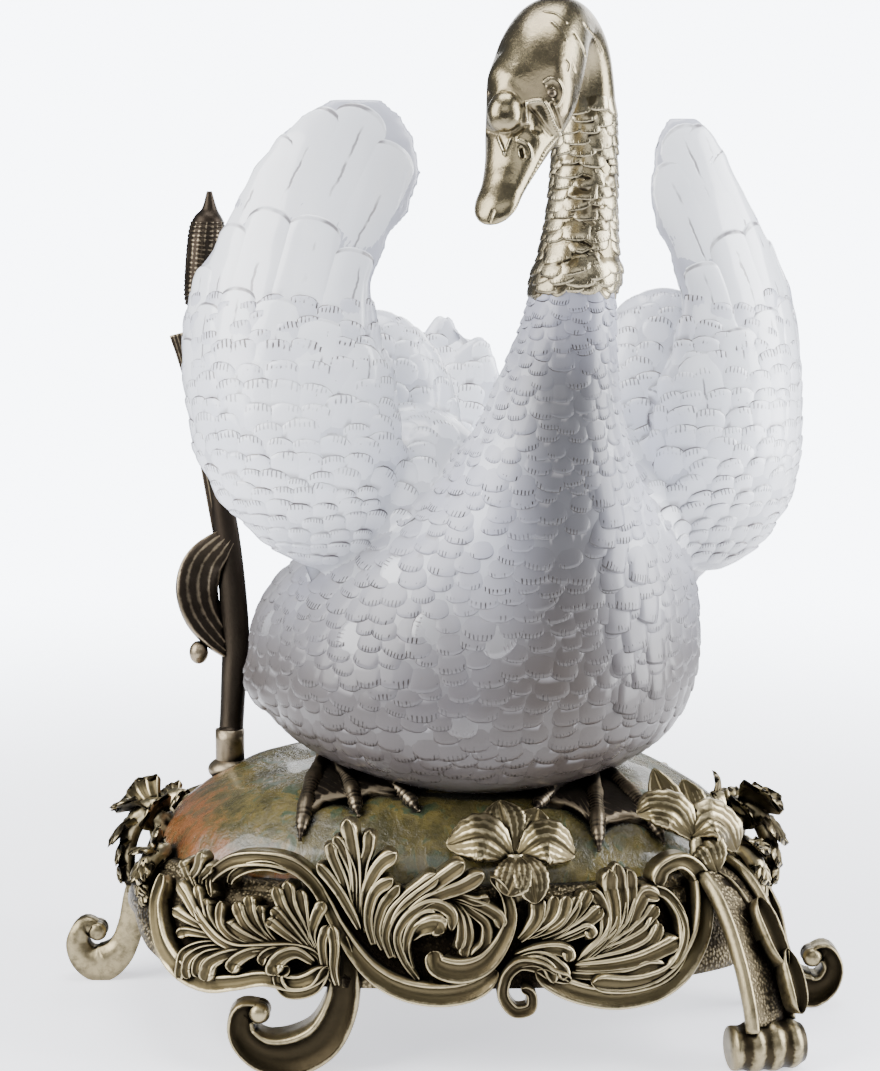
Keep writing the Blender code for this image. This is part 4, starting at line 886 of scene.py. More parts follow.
# Centre and half axes of the shoulder feathers behind each wing
SCAPULARS = {
    -1: ((-0.034, 0.000, 0.136), (0.041, 0.027, 0.066)),
    1: ((0.097, 0.012, 0.142), (0.040, 0.027, 0.070)),
}
def turned(forward, sideways, turn):
    """A plan offset given along and across an axis that is turned from -Y towards +X."""
    return Vector(
        (
            forward * math.sin(turn) + sideways * math.cos(turn),
            -forward * math.cos(turn) + sideways * math.sin(turn),
        )
    )


def at_swan(x, y, height):
    """A place given from the middle of the mount and the swan's seat."""
    return Vector((x * SHARE, y * SHARE, SWAN_SEAT + height * SHARE))


def ball(bm, centre, axes, sides=20, rows=11):
    """An upright ellipsoid on the swan, from a centre and three half axes."""
    reach = [axis * SHARE for axis in axes]
    along = [Vector((reach[0], 0, 0)), Vector((0, reach[1], 0)), Vector((0, 0, reach[2]))]
    add_ellipsoid(bm, at_swan(*centre), along, sides, rows)


def body_rings(sides=32, count=40):
    """Level slices from the belly to the neck joint. The lower ones are turned with the swan."""
    rings = []
    for height, x, y, half_width, half_length in smooth_through(BODY_ROWS, count):
        turn = SWAN_TURN * max(0.0, min(1.0, (0.15 - height) / 0.07))
        across = turned(0, half_width * SHARE, turn)
        along = turned(-half_length * SHARE, 0, turn)
        axes = [Vector((v.x, v.y, 0)) for v in (across, along)]
        rings.append(oval_ring(at_swan(x, y, height), axes[0], axes[1], sides, 2.1))
    return rings


def wing_point(side, chord_share, height, stand_out=0.0):
    """A point on a raised wing. Side is -1 for the wing at -X; stand_out is along the outer face's normal."""
    top = min(1.0, max(0.0, (height - 0.205) / 0.06))
    outer_cut, inner_cut = WING_TAPERS[side]
    chord_share = chord_share * (1 - top * (outer_cut + inner_cut)) + inner_cut * top
    forward, sideways = 0.050 - 0.050 * chord_share, WING_SPREADS[side] + WING_CHORDS[side] * chord_share
    middle = 0.143
    if height > middle:
        lean = 0.010 - 0.034 * ((height - middle) / 0.155) ** 2
    else:
        lean = 0.010 - 0.018 * ((middle - height) / 0.052) ** 2
    bulge = 0.020 * 4 * chord_share * (1 - chord_share) + stand_out
    forward += 0.864 * bulge + WING_LEANS[side][0] * lean
    sideways += 0.503 * bulge + WING_LEANS[side][1] * lean
    plan = (WING_ORIGIN + turned(forward, side * sideways, WING_TURN)) * SHARE
    return Vector((plan.x, plan.y, SWAN_SEAT + (height + WING_LIFTS[side]) * SHARE))


def wing_normal(side, chord_share, height):
    """The outer face's normal, from three near points."""
    step = 0.01
    along = wing_point(side, chord_share + step, height) - wing_point(side, chord_share - step, height)
    up = wing_point(side, chord_share, height + 0.002) - wing_point(side, chord_share, height - 0.002)
    return side * up.cross(along).normalized() * -1


def wing_core_rings(side, sides=28, count=20):
    """The wing's thick middle, as level slices that follow the chord's curve."""
    rings = []
    low, high = WING_ROWS[0][0], WING_ROWS[-1][0]
    for n in range(count):
        height = low + (high - low) * n / (count - 1)
        inner, outer, thickness = blend_between(WING_ROWS, height)
        ring = []
        for k in range(sides):
            angle = 2 * math.pi * k / sides
            c, s = math.cos(angle), math.sin(angle)
            share = (inner + outer) / 2 + (outer - inner) / 2 * math.copysign(abs(c) ** 0.8, c)
            ring.append(wing_point(side, share, height, thickness / 2 * math.copysign(abs(s) ** 0.8, s)))
        rings.append(ring)
    return rings


def add_tail(bm):
    """The raised fan of tail feathers behind the back."""
    root = Vector((-0.014, 0.078, 0.085))
    for tip in TAIL_TIPS:
        middle = (root + Vector(tip)) / 2 + Vector((0, 0.012, -0.006))
        rows = smooth_through((tuple(root), tuple(middle), tip), 8)
        path = [Vector(p) * SHARE + Vector((0, 0, SWAN_SEAT)) for p in rows]
        widths, depths = [], []
        for n in range(len(path)):
            t = n / (len(path) - 1)
            tip_round = math.sqrt(max(0.0, 1 - max(0.0, (t - 0.65) / 0.35) ** 2.4))
            widths.append(0.0195 * SHARE * max(0.2, (0.7 + 0.3 * t) * tip_round))
            depths.append(0.007 * SHARE * max(0.35, 1.35 - t))
        add_strip(bm, path, [Vector((0, 1, 0.25))] * len(path), widths, depths, 10)


def add_wing(bm, side):
    add_loft(bm, wing_core_rings(side, 72, 60))
    shoulder = WING_ORIGIN + turned(0.026, side * (WING_SPREADS[side] - 0.008), WING_TURN)
    ball(bm, (shoulder.x, shoulder.y, 0.112 + WING_LIFTS[side]), (0.042, 0.042, 0.046), 40, 21)
    ball(bm, *SCAPULARS[side], 40, 21)


def flat_way(way, normal):
    """The way's share that lies in the skin."""
    return (way - normal * way.dot(normal)).normalized()


def seed_at(place, normal, way, half_width, half_length, wobble=0.20):
    aim = flat_way(way, normal)
    side = normal.cross(aim)
    aim = (aim + side * random.uniform(-wobble, wobble)).normalized()
    size = random.uniform(0.92, 1.08)
    return place, normal, aim, half_width * size, half_length * size


class Sown:
    """Seeds on a skin that keep their distance from each other."""

    def __init__(self, tree):
        self.tree = tree
        self.seeds = []
        self.cells = {}

    def crowded(self, place, gap):
        key = tuple(int(v // 0.01) for v in place)
        for a in (-1, 0, 1):
            for b in (-1, 0, 1):
                for c in (-1, 0, 1):
                    for other in self.cells.get((key[0] + a, key[1] + b, key[2] + c), ()):
                        if (other - place).length < gap:
                            return True
        return False

    def sow(self, place, normal, way, half_width, half_length, gap):
        if self.crowded(place, gap):
            return
        self.seeds.append(seed_at(place, normal, way, half_width, half_length))
        self.cells.setdefault(tuple(int(v // 0.01) for v in place), []).append(place)

    def press(self, spot, near):
        """The skin's nearest place and normal, or nothing if the skin is further away than near."""
        place, normal, _, distance = self.tree.find_nearest(spot)
        if place is None or distance > near:
            return None, None
        return place, normal


def sow_body(sown):
    """Uneven rows of wide feathers round the neck and the body, tips down."""
    rows = smooth_through(BODY_ROWS, 80)
    height = 0.2225
    while height > 0.006:
        near = min(rows, key=lambda row: abs(row[0] - height))
        _, x, y, half_width, half_length = near
        grown = min(1.0, max(0.0, (0.215 - height) / 0.11))
        wide = 0.0048 + 0.0026 * grown
        pitch = 0.0049 + 0.0014 * grown
        around = math.pi * (half_width + half_length)
        count = max(8, round(around / (wide * 1.72)))
        turn = SWAN_TURN * max(0.0, min(1.0, (0.15 - height) / 0.07))
        start = random.uniform(0, 1)
        for n in range(count):
            angle = 2 * math.pi * (n + start + random.uniform(-0.22, 0.22)) / count
            flat = turned(-half_length * math.sin(angle), half_width * math.cos(angle), turn)
            wave = 0.0016 * math.sin(5 * angle + 60 * height)
            spot = at_swan(x + flat.x, y + flat.y, height + wave + random.uniform(-0.0014, 0.0014)) + SHIFT
            place, normal = sown.press(spot, 0.0045)
            if place is None:
                continue
            size = random.uniform(0.84, 1.24)
            sown.sow(place, normal, Vector((0, 0.12, -1)), wide * size, wide * 0.98 * size, wide * 0.72)
        height -= pitch * math.sqrt(max(0.3, 1 - ((0.05 - height) / 0.06) ** 2 if height < 0.05 else 1))


def sow_wing(sown, side, face):
    """Uneven rows of feathers on one face of a wing, tips up, larger towards the top."""
    height = 0.094
    while height < 0.186:
        inner, outer, thickness = blend_between(WING_ROWS, height)
        share = (height - 0.094) / 0.09
        wide = 0.0056 + 0.0044 * share
        low = wing_point(side, inner, height)
        high = wing_point(side, outer, height)
        count = max(3, round((high - low).length * 1.25 / (wide * 1.70)))
        start = random.uniform(0, 1)
        for n in range(-1, count + 1):
            chord = inner + (outer - inner) * (n + start + random.uniform(-0.18, 0.18)) / count
            level = height + random.uniform(-0.0016, 0.0016)
            spot = wing_point(side, chord, level, face * thickness * 0.55) + SHIFT
            place, normal = sown.press(spot, 0.006)
            if place is None:
                continue
            outward = wing_normal(side, chord, height) * face
            if normal.dot(outward) < 0.2:
                continue
            fan = Vector((side * (chord - 0.45) * 0.5, 0, 1.0))
            size = random.uniform(0.88, 1.18)
            sown.sow(place, normal, fan, wide * size, wide * 1.10 * size, wide * 0.76)
        height += wide * 0.92


def sow_rest(sown, skin, gap):
    """Fills what is still bare: the shoulders, the back, the tail's root and the edges."""
    mesh = skin.data
    count = len(mesh.vertices)
    places = np.empty(count * 3, dtype=np.float32)
    mesh.vertices.foreach_get("co", places)
    places = places.reshape(-1, 3)
    order = list(range(count))
    random.shuffle(order)
    top = SWAN_SEAT + 0.205
    for index in order[:30000]:
        x, y, z = (float(v) for v in places[index])
        if z < SWAN_SEAT + 0.012 or z > top:
            continue
        place = Vector((x, y, z))
        if sown.crowded(place, gap):
            continue
        normal = mesh.vertices[index].normal
        if normal.z < -0.6:
            continue
        rise = (z - SWAN_SEAT) / 0.2
        way = Vector((0, 1.0, -0.15)) if z < SWAN_SEAT + 0.13 else Vector((0, 0.5, 0.9 * rise + 0.2))
        sown.sow(place, normal, way, gap * 1.02, gap * 1.22, gap)


# Long feathers of a wing: root share and height, tip share and height, half width
QUILL_TIERS = (
    (
        (0.78, 0.226, 0.55, 0.279, 0.0135),
        (0.62, 0.222, 0.36, 0.290, 0.0140),
        (0.45, 0.218, 0.18, 0.289, 0.0140),
        (0.28, 0.214, 0.05, 0.272, 0.0130),
    ),
    (
        (0.92, 0.176, 0.86, 0.222, 0.0105),
        (0.82, 0.180, 0.72, 0.240, 0.0115),
        (0.66, 0.180, 0.54, 0.246, 0.0125),
        (0.48, 0.178, 0.34, 0.242, 0.0130),
        (0.30, 0.170, 0.17, 0.228, 0.0120),
    ),
    (
        (0.93, 0.150, 0.91, 0.190, 0.0085),
        (0.82, 0.152, 0.80, 0.206, 0.0100),
        (0.68, 0.154, 0.65, 0.212, 0.0110),
        (0.52, 0.152, 0.48, 0.208, 0.0118),
        (0.36, 0.148, 0.31, 0.200, 0.0118),
        (0.20, 0.142, 0.14, 0.190, 0.0110),
    ),
)


def flight_seeds(tree, side, tiers):
    """The long feathers of one wing, on both faces."""
    seeds = []
    for rows, grow in tiers:
        for root_share, root_height, tip_share, tip_height, half_width in rows:
            for face in (1, -1):
                middle = ((root_share + tip_share) / 2, (root_height + tip_height) / 2)
                start = wing_point(side, root_share, root_height)
                end = wing_point(side, tip_share, tip_height)
                outward = wing_normal(side, *middle) * face
                spot = wing_point(side, *middle) + outward * 0.006 + SHIFT
                place, _, _, distance = tree.find_nearest(spot)
                if distance > 0.012:
                    continue
                length = (end - start).length / 2
                seeds.append(
                    (place, outward, flat_way(end - start, outward), half_width * grow, length * 1.04)
                )
    return seeds


# Tufts on the fold down the breast's right side, as places in the picture
TUFTS = (
    (604, 486), (612, 506), (606, 528), (618, 548), (612, 570), (628, 590), (618, 612), (634, 630),
    (624, 652), (640, 668), (630, 690), (646, 702), (640, 560), (650, 600), (656, 640), (658, 676),
)


def tuft_seeds(tree):
    """Larger feathers that stand out in a fold down one side of the breast."""
    seeds = []
    for x, y in TUFTS:
        place, normal = seen_on(tree, x, y)
        if place is None:
            continue
        way = Vector((-0.12, 0, -1))
        seeds.append(
            seed_at(place, normal, way, random.uniform(0.0066, 0.0086), random.uniform(0.0088, 0.0112), 0.3)
        )
    return seeds


def make_swan(glaze, shaded_body_glaze, wing_glaze, quill_glaze):
    bm = bmesh.new()
    add_loft(bm, body_rings(64, 90))
    ball(bm, BACK_CENTRE, BACK_AXES, 40, 21)
    ball(bm, FLANK_CENTRE, FLANK_AXES, 32, 15)
    for side in (-1, 1):
        add_wing(bm, side)
    add_tail(bm)
    top = NECK_JOINT
    body = skinned("swan_body", bm, SWAN_VOXEL, 4)
    body.data.materials.append(glaze)
    axis = neck_axis()
    for vert in body.data.vertices:
        off = Vector((vert.co.x - axis.x, vert.co.y - axis.y, 0))
        if vert.co.z > top - 0.001 and off.length < 0.03:
            vert.co -= off * 0.35 * min(1.0, (vert.co.z - top + 0.001) / 0.003)
            vert.co.z = min(vert.co.z, top + 0.004)
    tree = skin_tree(body)
    sown = Sown(tree)
    sow_body(sown)
    on_body = len(sown.seeds)
    for side in (-1, 1):
        for face in (1, -1):
            sow_wing(sown, side, face)
    sow_rest(sown, body, 0.0078)
    plumage = [
        lay_feathers("swan_feathers", sown.seeds[:on_body], body, SCALE_SHEET, 0.0008, shaded_body_glaze),
        lay_feathers("wing_feathers", sown.seeds[on_body:], body, SCALE_SHEET, 0.0009, wing_glaze),
        lay_feathers("breast_tufts", tuft_seeds(tree), body, QUILL_SHEET, 0.0019, shaded_body_glaze),
    ]
    paddle = ((QUILL_TIERS[0], 1.0),)
    lower = ((QUILL_TIERS[1], 1.06), (QUILL_TIERS[2], 1.08))
    for name, tiers, lift in (("paddle_feathers", paddle, 0.0004), ("flight_feathers", lower, 0.0009)):
        seeds = [seed for side in (-1, 1) for seed in flight_seeds(tree, side, tiers)]
        plumage.append(lay_feathers(name, seeds, body, QUILL_SHEET, lift, quill_glaze))
    return body, plumage


# The bronze head and upper neck

# Centre x, y and height above the seat, then half width and half depth of the neck, skull and bill
HEAD_ROWS = (
    (0.0535, -0.061, 0.217, 0.0160, 0.0166),
    (0.0545, -0.060, 0.228, 0.0155, 0.0160),
    (0.0562, -0.056, 0.248, 0.0146, 0.0150),
    (0.0572, -0.053, 0.272, 0.0136, 0.0140),
    (0.0565, -0.053, 0.294, 0.0132, 0.0136),
    (0.0535, -0.058, 0.311, 0.0134, 0.0138),
    (0.0475, -0.069, 0.3195, 0.0142, 0.0140),
    (0.0415, -0.081, 0.3175, 0.0165, 0.0160),
    (0.0365, -0.092, 0.306, 0.0185, 0.0178),
    (0.0325, -0.100, 0.291, 0.0180, 0.0165),
    (0.0280, -0.107, 0.277, 0.0145, 0.0125),
    (0.0245, -0.113, 0.266, 0.0112, 0.0085),
    (0.0210, -0.119, 0.2565, 0.0092, 0.0058),
    (0.0180, -0.124, 0.2495, 0.0090, 0.0046),
    (0.0165, -0.1265, 0.2455, 0.0066, 0.0034),
)
HEAD_LOOK = Vector((-0.42, -0.91, 0.0))
KNOB = (0.0220, -0.1155, 0.2855)


def head_rings(sides=20, count=40):
    """The head's rings, square to a line that goes up the neck, over the crown and down the bill."""
    rows = smooth_through(HEAD_ROWS, count)
    points = [Vector(r[:3]) * SHARE + Vector((0, 0, SWAN_SEAT)) for r in rows]
    side = HEAD_LOOK.cross(Vector((0, 0, 1))).normalized()
    rings = []
    for n, row in enumerate(rows):
        ahead = points[min(n + 1, count - 1)] - points[max(n - 1, 0)]
        across = (side - ahead * side.dot(ahead) / ahead.length_squared).normalized()
        along = across.cross(ahead).normalized()
        rings.append(oval_ring(points[n], across * row[3] * SHARE, along * row[4] * SHARE, sides, 2.1))
    return rings

# Swellings, then grooves (below zero) and ridges, as places in the picture: reach and height in mm
HEAD_SWELLS = (
    (((498, 76), (506, 80)), 7.6, 2.6),
    (((560, 70), (566, 92), (564, 110)), 6.0, 1.2),
    (((476, 46), (500, 50)), 3.6, -0.8),
    (((500, 176), (494, 196), (492, 208)), 4.0, 0.6),
    (((590, 52), (593, 80), (592, 108)), 4.4, -1.6),
    (((528, 124), (538, 126), (546, 132)), 3.0, -0.9),
)
HEAD_LINES = (
    (((486, 131), (498, 134), (512, 133), (522, 127)), 1.2, -1.2),
    (((545, 82), (551, 79), (558, 82), (562, 90), (560, 100), (555, 106)), 0.75, 0.7),
    (((548, 86), (553, 84), (557, 90), (555, 98)), 0.7, -0.8),
    (((526, 104), (533, 102), (542, 102), (548, 111), (553, 123), (559, 134)), 0.85, 1.5),
    (((526, 104), (526, 112), (527, 122)), 0.8, 1.2),
    (((533, 112), (536, 120), (536, 128)), 2.2, -1.4),
    (((530, 108), (537, 115), (544, 126), (552, 135)), 0.7, -1.0),
    (((552, 104), (557, 116), (561, 129)), 0.7, -1.1),
    (((560, 134), (552, 144), (545, 152), (538, 166), (530, 182), (521, 200), (514, 212)), 0.7, -1.2),
    (((498, 136), (501, 144), (505, 154)), 0.65, 0.7),
    (((512, 135), (509, 144), (505, 154)), 0.65, 0.7),
    (((521, 149), (522, 153), (523, 156)), 0.85, -1.7),
    (((519, 140), (526, 143), (530, 150), (531, 158)), 0.65, 0.8),
    (((493, 211), (491, 216), (490, 221)), 0.55, -0.7),
    (((566, 60), (569, 64), (568, 70)), 0.5, -0.5),
    (((573, 66), (575, 71)), 0.5, -0.5),
    (((552, 22), (560, 30), (566, 40)), 0.6, 0.5),
    (((545, 12), (556, 14), (566, 22)), 0.6, 0.4),
)
# Wrinkles of the neck, drawn the same way
NECK_LINES = (
    (((552, 163), (564, 160), (572, 155)), 0.7, -1.1),
    (((550, 185), (564, 184), (580, 177), (592, 180), (602, 190)), 0.7, -1.2),
    (((548, 170), (556, 174), (566, 175)), 0.6, 0.5),
    (((546, 204), (556, 198), (568, 195)), 0.6, 0.5),
    (((572, 195), (584, 190), (596, 196), (606, 206)), 0.6, -1.0),
    (((576, 208), (586, 212), (598, 222)), 0.6, -1.0),
    (((546, 232), (558, 226), (576, 222), (588, 226), (600, 238)), 0.65, -1.1),
    (((544, 246), (560, 241), (578, 240), (592, 248), (604, 260)), 0.65, -1.1),
    (((560, 258), (574, 254), (586, 252), (596, 262)), 0.6, -0.9),
    (((597, 148), (604, 156), (612, 166)), 0.6, -1.0),
    (((600, 128), (608, 136), (614, 142)), 0.6, -1.0),
    (((600, 108), (608, 114), (615, 124)), 0.6, -1.0),
    (((598, 170), (606, 178), (613, 190)), 0.6, -1.0),
    (((574, 34), (582, 46), (586, 56)), 0.6, -0.8),
    (((584, 24), (594, 36), (602, 52)), 0.6, -0.6),
)
EYE = (552, 93)
EYE_RADIUS = 0.0022


def carve(piece, tree, lines):
    """Moves a skin's vertices in or out along lines seen in the picture."""
    mesh = piece.data
    count = len(mesh.vertices)
    places = np.empty(count * 3)
    normals = np.empty(count * 3)
    mesh.vertices.foreach_get("co", places)
    mesh.vertices.foreach_get("normal", normals)
    places, normals = places.reshape(-1, 3), normals.reshape(-1, 3)
    push = np.zeros(count)
    for points, width, depth in lines:
        spots = [seen_on(tree, x, y)[0] for x, y in smooth_through(points, 24)]
        spots = np.array([tuple(spot) for spot in spots if spot is not None])
        if not len(spots):
            continue
        near = np.full(count, 1.0)
        for spot in spots:
            near = np.minimum(near, ((places - spot) ** 2).sum(axis=1))
        push += depth * 0.001 * np.exp(-near / (width * 0.001) ** 2)
    mesh.vertices.foreach_set("co", (places + normals * push[:, None]).ravel())
    mesh.update()


def neck_axis():
    return Vector((HEAD_ROWS[0][0], HEAD_ROWS[0][1], 0)) + SHIFT


def make_sleeve(body, head, segments=132, lobes=11):
    """The lowest bronze feathers as one sleeve with a scalloped edge that laps over the porcelain."""
    trees = skin_tree(body), skin_tree(head)
    axis = neck_axis()
    bm = bmesh.new()
    rings = []
    for n in range(segments):
        angle = 2 * math.pi * n / segments
        way = Vector((math.cos(angle), math.sin(angle), 0))
        bottom = NECK_JOINT - 0.0080 - 0.0046 * abs(
            math.sin(lobes * angle / 2)
        ) + 0.0014 * math.sin(3 * angle)
        top = NECK_JOINT + 0.0024
        outside, inside = [], []
        for k in range(10):
            start = axis + way * 0.06 + Vector((0, 0, bottom + (top - bottom) * k / 9))
            hits = [tree.ray_cast(start, -way)[0] for tree in trees]
            reach = max([(hit - axis).dot(way) for hit in hits if hit is not None])
            foot = start - way * 0.06
            outside.append(foot + way * (reach + 0.0013 * min(1.0, 0.55 + k / 6) * min(1.0, (9.5 - k) / 2)))
            inside.append(foot + way * (reach - 0.0012))
        rings.append(outside + inside[::-1])
    add_hoop(bm, rings)
    return new_piece("bronze_sleeve", bm, shift=False)


def make_head(bronze, feather_bronze, dark, body):
    bm = bmesh.new()
    add_loft(bm, head_rings(48, 160))
    place = Vector(KNOB) + Vector((0, 0, SWAN_SEAT))
    side = HEAD_LOOK.cross(Vector((0, 0, 1))).normalized()
    add_ellipsoid(bm, place, [side * 0.0074, HEAD_LOOK * 0.0080, Vector((0, 0, 0.0084))], 32, 21)
    tip = Vector((0.0182, -0.1236, 0.2502 + SWAN_SEAT))
    down = Vector((-0.296, -0.503, -0.812))
    add_ellipsoid(bm, tip, [side * 0.0090, side.cross(down) * 0.0043, down * 0.0096], 32, 21)
    foot = Vector((HEAD_ROWS[0][0], HEAD_ROWS[0][1], 0))
    for vert in bm.verts:
        near_joint = min(1.0, max(0.0, (NECK_JOINT + 0.020 - vert.co.z) / 0.018))
        off = Vector((vert.co.x, vert.co.y, 0)) - foot
        vert.co += off * 0.10 * near_joint
    head = skinned("head", bm, HEAD_VOXEL, 3)
    head.data.materials.append(bronze)
    carve(head, skin_tree(head), HEAD_SWELLS)
    finer = head.modifiers.new("Finer", "SUBSURF")
    finer.levels = finer.render_levels = 1
    baked(head)
    carve(head, skin_tree(head), HEAD_LINES + NECK_LINES)
    tree = skin_tree(head)
    sown = Sown(tree)
    rows = smooth_through(HEAD_ROWS, 120)
    height = NECK_JOINT_SHARE * SWAN_HEIGHT + 0.0012
    while height < 0.296:
        row = min(rows[:60], key=lambda r: abs(r[2] - height))
        pitch = 0.0052
        count = round(math.pi * (row[3] + row[4]) / 0.0105)
        start = random.uniform(0, 1)
        for n in range(count):
            angle = 2 * math.pi * (n + start + random.uniform(-0.15, 0.15)) / count
            reach = Vector((row[3] * math.cos(angle), row[4] * math.sin(angle), 0))
            spot = Vector(
                (row[0], row[1], height + random.uniform(-0.001, 0.001) + SWAN_SEAT)
            ) + reach + SHIFT
            where, normal = sown.press(spot, 0.004)
            if where is not None and abs(normal.z) < 0.8:
                size = random.uniform(0.85, 1.2)
                sown.sow(where, normal, Vector((0.10, 0, -1)), 0.0074 * size, 0.0056 * size, 0.0042)
        height += pitch * 0.86
    sleeve = make_sleeve(body, head)
    sleeve.data.materials.append(feather_bronze)
    both = bmesh.new()
    for piece in (head, body, sleeve):
        both.from_mesh(piece.data)
    neck_skin = new_piece("neck_skin", both, shift=False)
    collar = Sown(skin_tree(sleeve))
    axis = neck_axis()
    for row in range(3):
        for n in range(11):
            angle = 2 * math.pi * (n + row / 2 + random.uniform(-0.15, 0.15)) / 11
            drop = NECK_JOINT - 0.0062 + 0.0040 * row + random.uniform(-0.001, 0.001)
            spot = axis + Vector((0.019 * math.cos(angle), 0.019 * math.sin(angle), drop))
            where, normal = collar.press(spot, 0.006)
            if where is not None and abs(normal.z) < 0.8:
                size = random.uniform(0.9, 1.2)
                collar.sow(where, normal, Vector((0.10, 0, -1)), 0.0076 * size, 0.0060 * size, 0.0036)
    upper = [seed for seed in sown.seeds if seed[0].z >= NECK_JOINT + 0.003]
    scales = lay_feathers("head_feathers", upper, neck_skin, SCALE_SHEET, 0.0009, feather_bronze)
    jagged = lay_feathers("bronze_collar", collar.seeds, neck_skin, SCALE_SHEET, 0.0010, feather_bronze)
    bpy.data.objects.remove(neck_skin)
    eye_bm = bmesh.new()
    for flip in (1, -1):
        spot, normal = seen_on(tree, *EYE)
        if flip < 0:
            middle = Vector((0.0375, -0.090, 0)) + SHIFT
            offset = spot - middle
            offset.z = 0
            spot = spot - side * 2 * offset.dot(side)
            near, normal, _, _ = tree.find_nearest(spot)
            spot = near
        axes = [side * EYE_RADIUS, HEAD_LOOK * EYE_RADIUS, Vector((0, 0, EYE_RADIUS))]
        add_ellipsoid(eye_bm, spot - normal * (0.0010 if flip > 0 else 0.0017), axes, 24, 13)
    eyes = new_piece("eyes", eye_bm, shift=False)
    eyes.data.materials.append(dark)
    return head, scales, jagged, sleeve, eyes


# The mound and the feet

def plan_point(angle, half_width, half_depth):
    """A point of the mount's plan outline, in the ground plane. Angle 0 is the right end."""
    c, s = math.cos(angle), math.sin(angle)
    return Vector(
        (
            half_width * math.copysign(abs(c) ** (2 / PLAN_POWER), c),
            half_depth * math.copysign(abs(s) ** (2 / PLAN_POWER), s),
            0,
        )
    )


MOUND_HALF_WIDTH = MOUNT_HALF_WIDTH - RING_WALL - FIT_GAP
MOUND_HALF_DEPTH = MOUNT_HALF_DEPTH - RING_WALL - FIT_GAP
MOUND_LUMPS = 0.0012


def mound_height(share, angle):
    """Height of the mound's skin above the ground, share 0 at its middle and 1 at its rim."""
    dome = MOUND_SHOULDER + (MOUND_HEIGHT - MOUND_SHOULDER) * 1.06 * max(0.0, 1 - share**2.7) ** 0.5
    lumps = MOUND_LUMPS * math.sin(3 * angle + 1) * math.sin(math.pi * share) * 2
    return MOUND_FOOT + min(MOUND_HEIGHT, dome + lumps)


def on_mound(x, y, lift=0.0):
    """The point of the mound's skin above a place in the plan."""
    share = (
        abs(x / MOUND_HALF_WIDTH) ** PLAN_POWER + abs(y / MOUND_HALF_DEPTH) ** PLAN_POWER
    ) ** (1 / PLAN_POWER)
    share = min(share, 1.0)
    angle = math.atan2(
        math.copysign(abs(y / MOUND_HALF_DEPTH) ** (PLAN_POWER / 2), y),
        math.copysign(abs(x / MOUND_HALF_WIDTH) ** (PLAN_POWER / 2), x),
    )
    return Vector((x, y, mound_height(share, angle) + lift))


# Ankle place, then the tips of the three toes, in the plan
FEET = {
    "foot_left": ((-0.054, -0.010), ((-0.064, -0.080), (-0.039, -0.0755), (-0.013, -0.0745))),
    "foot_right": ((0.063, -0.020), ((0.037, -0.070), (0.064, -0.0825), (0.093, -0.070))),
}
TOE_RADIUS = 0.0036
WEB_THICKNESS = 0.0034


def make_mound(glaze):
    """The glazed mound, with hand-made unevenness."""
    bm = bmesh.new()
    segments, rows = 160, 44
    rings = [
        [plan_point(2 * math.pi * n / segments, MOUND_HALF_WIDTH, MOUND_HALF_DEPTH) + Vector((0, 0, MOUND_FOOT)) for n in range(segments)]
    ]
    for row in range(rows):
        share = math.sin(math.pi / 2 * (1 - row / rows))
        ring = []
        for n in range(segments):
            angle = 2 * math.pi * n / segments
            p = plan_point(angle, MOUND_HALF_WIDTH * share, MOUND_HALF_DEPTH * share)
            dent = 0.0007 * math.sin(31 * p.x + 57 * p.y) * math.sin(
                83 * p.x - 41 * p.y
            ) + 0.0004 * math.sin(190 * p.x) * math.sin(170 * p.y)
            p.z = mound_height(share, angle) + (dent - 0.0007) * min(1.0, row / 4)
            ring.append(p)
        rings.append(ring)
    add_loft(bm, rings)
    mound = new_piece("mound_skin", bm)
    mound.data.materials.append(glaze)
    return mound


def add_foot(bm, name):
    """A webbed foot: a post, three ringed toes with claws, and a web that sags between them."""
    (x, y), tips = FEET[name]
    ankle = on_mound(x, y)
    bottom, top = ankle.z - 0.004, SWAN_SEAT + ANKLE_SOCKET_DEPTH
    path = [Vector((x, y, bottom + (top - bottom) * n / 16)) for n in range(17)]
    radii = [ANKLE_RADIUS * (1.05 + 0.3 * (1 - n / 16) ** 2 + 0.07 * (n % 2)) for n in range(17)]
    add_strip(bm, path, [Vector((0, -1, 0))] * 17, radii, radii, 20)
    rays = []
    for tip_x, tip_y in tips:
        stations = 75
        ray = []
        for n in range(stations):
            t = n / (stations - 1)
            lift = TOE_RADIUS * (0.6 + 0.5 * (1 - t))
            ray.append(on_mound(x + (tip_x - x) * t, y + (tip_y - y) * t, lift))
        radii = []
        for n in range(stations):
            t = n / (stations - 1)
            knuckle = 0.16 * math.exp(-(((t - 0.55) / 0.06) ** 2)) + 0.16 * math.exp(
                -(((t - 0.80) / 0.05) ** 2)
            )
            ring = 0.17 if n % 2 == 0 else 0.0
            claw = max(0.25, 1 - max(0.0, (t - 0.90) / 0.10) ** 1.5)
            radii.append(TOE_RADIUS * (0.98 - 0.24 * t + knuckle + ring) * claw)
        add_strip(bm, ray, [Vector((0, 0, 1))] * stations, radii, radii, 14)
        rays.append(ray[:: (stations - 1) // 24][:23])
    for left, right in zip(rays, rays[1:]):
        rings = []
        for n in range(len(left)):
            t = n / (len(left) - 1)
            row = []
            for k in range(13):
                share = k / 12
                sag = 1 - 0.10 * math.sin(math.pi * share) * t
                flat = left[n].lerp(right[n], share)
                px, py = x + (flat.x - x) * sag, y + (flat.y - y) * sag
                scale = 0.0003 * ((n + k) % 2)
                row.append(on_mound(px, py, WEB_THICKNESS * 0.55 + scale))
            thick = Vector((0, 0, WEB_THICKNESS / 2))
            rings.append([p + thick for p in row] + [p - thick * 1.6 for p in reversed(row)])
        add_loft(bm, rings)


